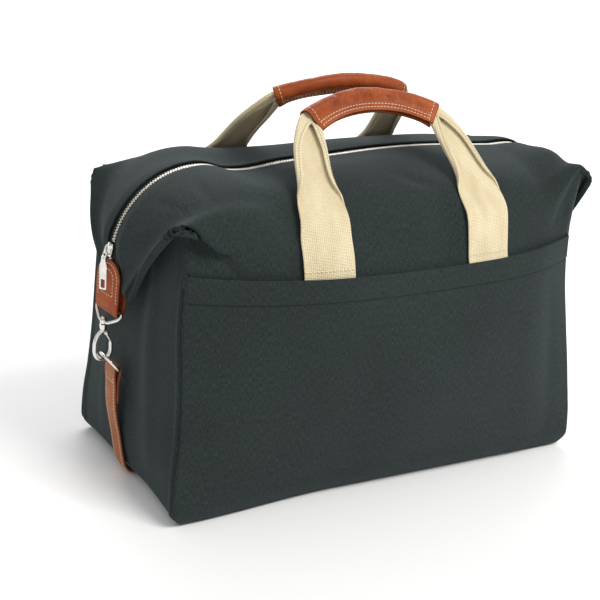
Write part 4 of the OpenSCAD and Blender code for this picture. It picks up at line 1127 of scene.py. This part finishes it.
for word, side in (("left", -1), ("right", 1)):
    turn_by, roll_by = (12.0, 6.0) if side < 0 else (7.0, 1.5)
    # leather tab: outer leaf, fold round the eye's bar, inner leaf
    bar = np.array([263.2, 184.0])
    r = 5.4 - 0.1
    outer_x, inner_x = 263.2 + r, 263.2 - r
    heights = TAB_Z + TAB * np.sin(np.linspace(math.pi / 2, 0, 18))
    line = [(outer_x, z) for z in heights] + [(outer_x, z) for z in np.linspace(TAB_Z, 190, 12)[1:]]
    line += [(outer_x - 0.5 * ease(190, 184, z), z) for z in (187.5, 185.5)]
    line += [(bar[0] + (r - 0.5) * math.cos(a), bar[1] + (r + 0.2) * math.sin(a))
             for a in np.linspace(0, -math.pi, 15)]
    line += ([(inner_x + 0.5, z) for z in (186, 188)] + [(inner_x, z) for z in np.linspace(191, TAB_Z, 10)]
             + [(inner_x, z) for z in heights[::-1][1:]])
    line = np.array(line)
    width = np.where(line[:, 1] > TAB_Z, np.sqrt(np.maximum(TAB ** 2 - (line[:, 1] - TAB_Z) ** 2, 0.04)), TAB)
    width = width - 0.9 * hump(184, 7, line[:, 1])
    c = np.linspace(-1, 1, 25)
    P = np.stack([np.broadcast_to(line[:, None, 0], (len(line), 25)) + 0.5
                  * np.sin(line[:, 1] / 8)[:, None] * (np.arange(len(line)) < 26)[:, None] + 0.0 * c,
                  width[:, None] * c, np.broadcast_to(line[:, None, 1], (len(line), 25))], -1)
    P[..., 0] += 0.8 * (1 - c ** 2)[None] * (np.arange(len(line)) < 30)[:, None] * ease(236, 226, P[..., 2])
    P = mirrored(twist(P, turn_by, roll_by), side)
    ob = add_sheet(word + "_tab_leather", P, COGNAC, "bag", 2.1, flip=side > 0)
    leather_edge(ob, EDGE)
    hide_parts(word + "_zip_tab")

    def tab_row(points):
        q = np.array([(outer_x + 0.55 * math.sin(z / 8) + 0.8
                       * (1 - min(1, abs(y) / max(1.0,
                       (TAB if z < TAB_Z else math.sqrt(max(1, TAB ** 2 - (z - TAB_Z) ** 2))))) ** 2)
                       * ease(236, 226, z), y, z) for y, z in points])
        way = np.broadcast_to(twist([264.2, 0, 184], turn_by, roll_by) - np.array([263.2, 0, 184]), q.shape)
        return mirrored(twist(q, turn_by, roll_by), side), mirrored(way, side)

    arch = (lambda r, low: [(-r, z) for z in np.linspace(low, TAB_Z, 12)]
            + [(r * math.sin(a), TAB_Z + r * math.cos(a))
            for a in np.linspace(-math.pi / 2, math.pi / 2, 24)[1:-1]] + [(r, z)
            for z in np.linspace(TAB_Z, low, 12)])
    rows = [tab_row(arch(15.4, 194)), tab_row([(y, 194) for y in np.linspace(-15.4, 15.4, 9)]),
            tab_row(arch(9.6, 200)), tab_row([(y, 200) for y in np.linspace(-9.6, 9.6, 7)])]
    stitches(word + "_tab_thread", rows, CREAM, "bag", 2.3, 1.1, 0.40)

    # eye: a rounded triangle of wire in the fold, with the swivel's boss below
    lean_dir = np.array([math.sin(math.radians(26.96)), 0, -math.cos(math.radians(26.96))])
    base = np.array([263.2, 0, 184.0])
    eye = [base + crosswise * a + lean_dir * b for a,
           b in rounded([(-21.0, -0.2), (21.0, -0.2), (19.0, 6.0), (6.4, 15.0), (-6.4, 15.0),
           (-19.0, 6.0)], 3.2, True, 6)]
    eye = twist(eye, turn_by, roll_by)
    plane = twist(np.cross(crosswise, lean_dir) + base, turn_by, roll_by) - base
    foot = 184 - 15 * math.cos(math.radians(26.96))
    boss = turned([(1.4, foot + 2.4), (3.0, foot + 2.4), (3.5, foot + 1.7), (3.5, foot - 1.7),
                   (3.0, foot - 2.4), (1.4, foot - 2.4)], (270, 0))
    ob = wire_piece(word + "_eye_wire", eye, 1.65, word + "_eye", side, True, 12, tuple(plane), 1.0, [boss])
    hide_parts(word + "_eye")

    # hook: swivel stud, neck and a tall oval bow, with the gate on its pin
    hook_path = rounded([(270, 0, 163.5), (270.4, 0, 160.5), (275.6, 0, 156.0), (278.4, 0, 149.0),
                         (278.6, 0, 138.0), (276.4, 0, 132.0), (270, 0, 129.3), (263.6, 0, 132.0),
                         (261.4, 0, 138.0), (261.7, 0, 147.2)], 4.0, False, 6)
    thick = np.interp(np.linspace(0, 1, len(hook_path)), [0, 0.12, 0.3, 0.6, 0.85, 1],
                      [2.9, 2.35, 2.3, 2.35, 2.2, 1.9])
    stud = turned([(0.4, foot + 5.0), (1.6, foot + 4.9), (2.4, foot + 4.3), (2.5, foot + 2.9),
                   (1.25, foot + 2.7), (1.25, foot - 2.7), (2.6, foot - 2.75), (3.8, foot - 3.3),
                   (3.95, foot - 4.4), (3.4, foot - 6.2), (3.7, foot - 7.0), (3.2, foot - 8.4),
                   (2.6, foot - 9.4), (1.0, foot - 9.8)], (270, 0))
    lug = [[(266.6 + a * math.cos(t), y, 157.6 + a * math.sin(t))
            for t in np.linspace(0, 2 * math.pi, 13)[:-1]] for y,
            a in ((-2.9, 1.6), (-2.5, 2.2), (-1.5, 2.3))]
    lug2 = [[(x, -y, z) for x, y, z in ring] for ring in lug]
    pin = [[(266.6 + a * math.cos(t), y, 157.0 + a * math.sin(t))
            for t in np.linspace(0, 2 * math.pi, 13)[:-1]] for y,
            a in ((-3.5, 0.6), (-3.3, 1.05), (3.3, 1.05), (3.5, 0.6))]
    ob = wire_piece(word + "_hook_bow", hook_path, thick, word + "_hook", side, False, 14,
                    extra=[stud, lug, lug2, pin])
    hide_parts(word + "_hook", word + "_gate_pin")
    gate_path = [(266.6, 0, 157.0), (264.6, 0, 153.6), (262.6, 0, 150.2), (261.9, 0, 148.8)]
    gate_rings = tube(gate_path, [1.5, 1.15, 1.1, 1.0], 8, flat=1.1)
    v, f = closed_rings(mirrored(gate_rings, side))
    ob = add_mesh(word + "_gate_bar", v, f, NICKEL, word + "_gate")
    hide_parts(word + "_gate")

    # D-ring
    lean_up = np.array([math.sin(math.radians(40.6)), 0, math.cos(math.radians(40.6))])
    at = np.array([258.0, 0, 121.0])
    straight = 18.44 - 13.9
    ring = ([(-14.9, 0), (14.9, 0), (14.9, straight)]
            + [(14.9 * math.cos(t), straight + 13.9 * math.sin(t))
            for t in np.linspace(0.15, math.pi - 0.15, 14)] + [(-14.9, straight)])
    ring = [at + crosswise * a + lean_up * b for a, b in rounded(ring, 2.2, True, 4)]
    ob = wire_piece(word + "_ring_wire", ring, 1.7, word + "_ring", side, True, 12,
                    tuple(np.cross(crosswise, lean_up)))
    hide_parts(word + "_d_ring")

    # leather strap: short tail behind, round the ring's bar, and down to the bottom seam
    def strap_at(line, off):
        line = np.array(line, float)
        run = unit(np.gradient(line, axis=0))
        return line + np.stack([-run[:, 1], run[:, 0]], -1) * off
    main = np.array([[258.5, 116], [259.2, 108], [259.3, 96], [258.6, 82], [256.4, 66], [253.4, 50],
                     [250.8, 34], [249.2, 24], [246.6, 13], [242.5, 6.5], [237.0, 4.0]])
    t0 = np.linspace(0, 1, len(main))
    t1 = np.linspace(0, 1, 60)
    main = np.stack([smooth_table(t0, main[:, 0])(t1), smooth_table(t0, main[:, 1])(t1)], -1)
    front_leaf = main + np.stack([2.9 * np.interp(t1, [0, 0.04, 0.14, 1], [1.0, 0.8, 0.4, 0.36]), 0 * t1], -1)
    wrap = [(258.0 + 2.9 * math.cos(a), 121.0 + 2.9 * math.sin(a))
            for a in np.linspace(math.radians(-15), math.radians(195), 15)]
    tail = [(255.1 + 2.5 * ease(117, 105, z), z) for z in np.linspace(118.5, 84, 16)]
    line = np.array(tail[::-1] + wrap[::-1] + front_leaf.tolist())
    c = np.linspace(-1, 1, 17)
    P = np.stack([np.broadcast_to(line[:, None, 0], (len(line), 17)), 12.5
                  * np.broadcast_to(c, (len(line), 17)),
                  np.broadcast_to(line[:, None, 1], (len(line), 17))], -1).copy()
    sway = 1.6 * np.sin((121 - P[..., 2]) / 34.0) * ease(118, 60, P[..., 2])
    P[..., 1] += sway
    P[..., 0] += (0.5 * np.sin(P[..., 2] / 11.0) * (1 - c ** 2)[None] - 0.5 * c[None] ** 2
                  * ease(112, 90, P[..., 2]))
    S = mirrored(P, side)
    ob = add_sheet(word + "_strap_leather", S, TAN, "bag", 1.9, offset=0.0, flip=side > 0)
    leather_edge(ob, TAN_EDGE)
    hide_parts(word + "_strap")
    N = strip_normals(S)
    N = np.where((N[..., :1] * side) < 0, -N, N)
    first = len(tail) + len(wrap)
    cut = slice(first + 3, len(line) - 3)
    rows = []
    for k in (2, 14):
        rows.append((S[cut, k] + N[cut, k] * 0.95, N[cut, k]))
    across_at = first + 7
    rows.append((S[across_at, 2:15] + N[across_at, 2:15] * 0.95, N[across_at, 2:15]))
    stitches(word + "_strap_thread", rows, CREAM, "bag", 2.5, 1.2, 0.42)

NODES["zip_end_stops"].data.materials.clear()
NODES["zip_end_stops"].data.materials.append(NICKEL)
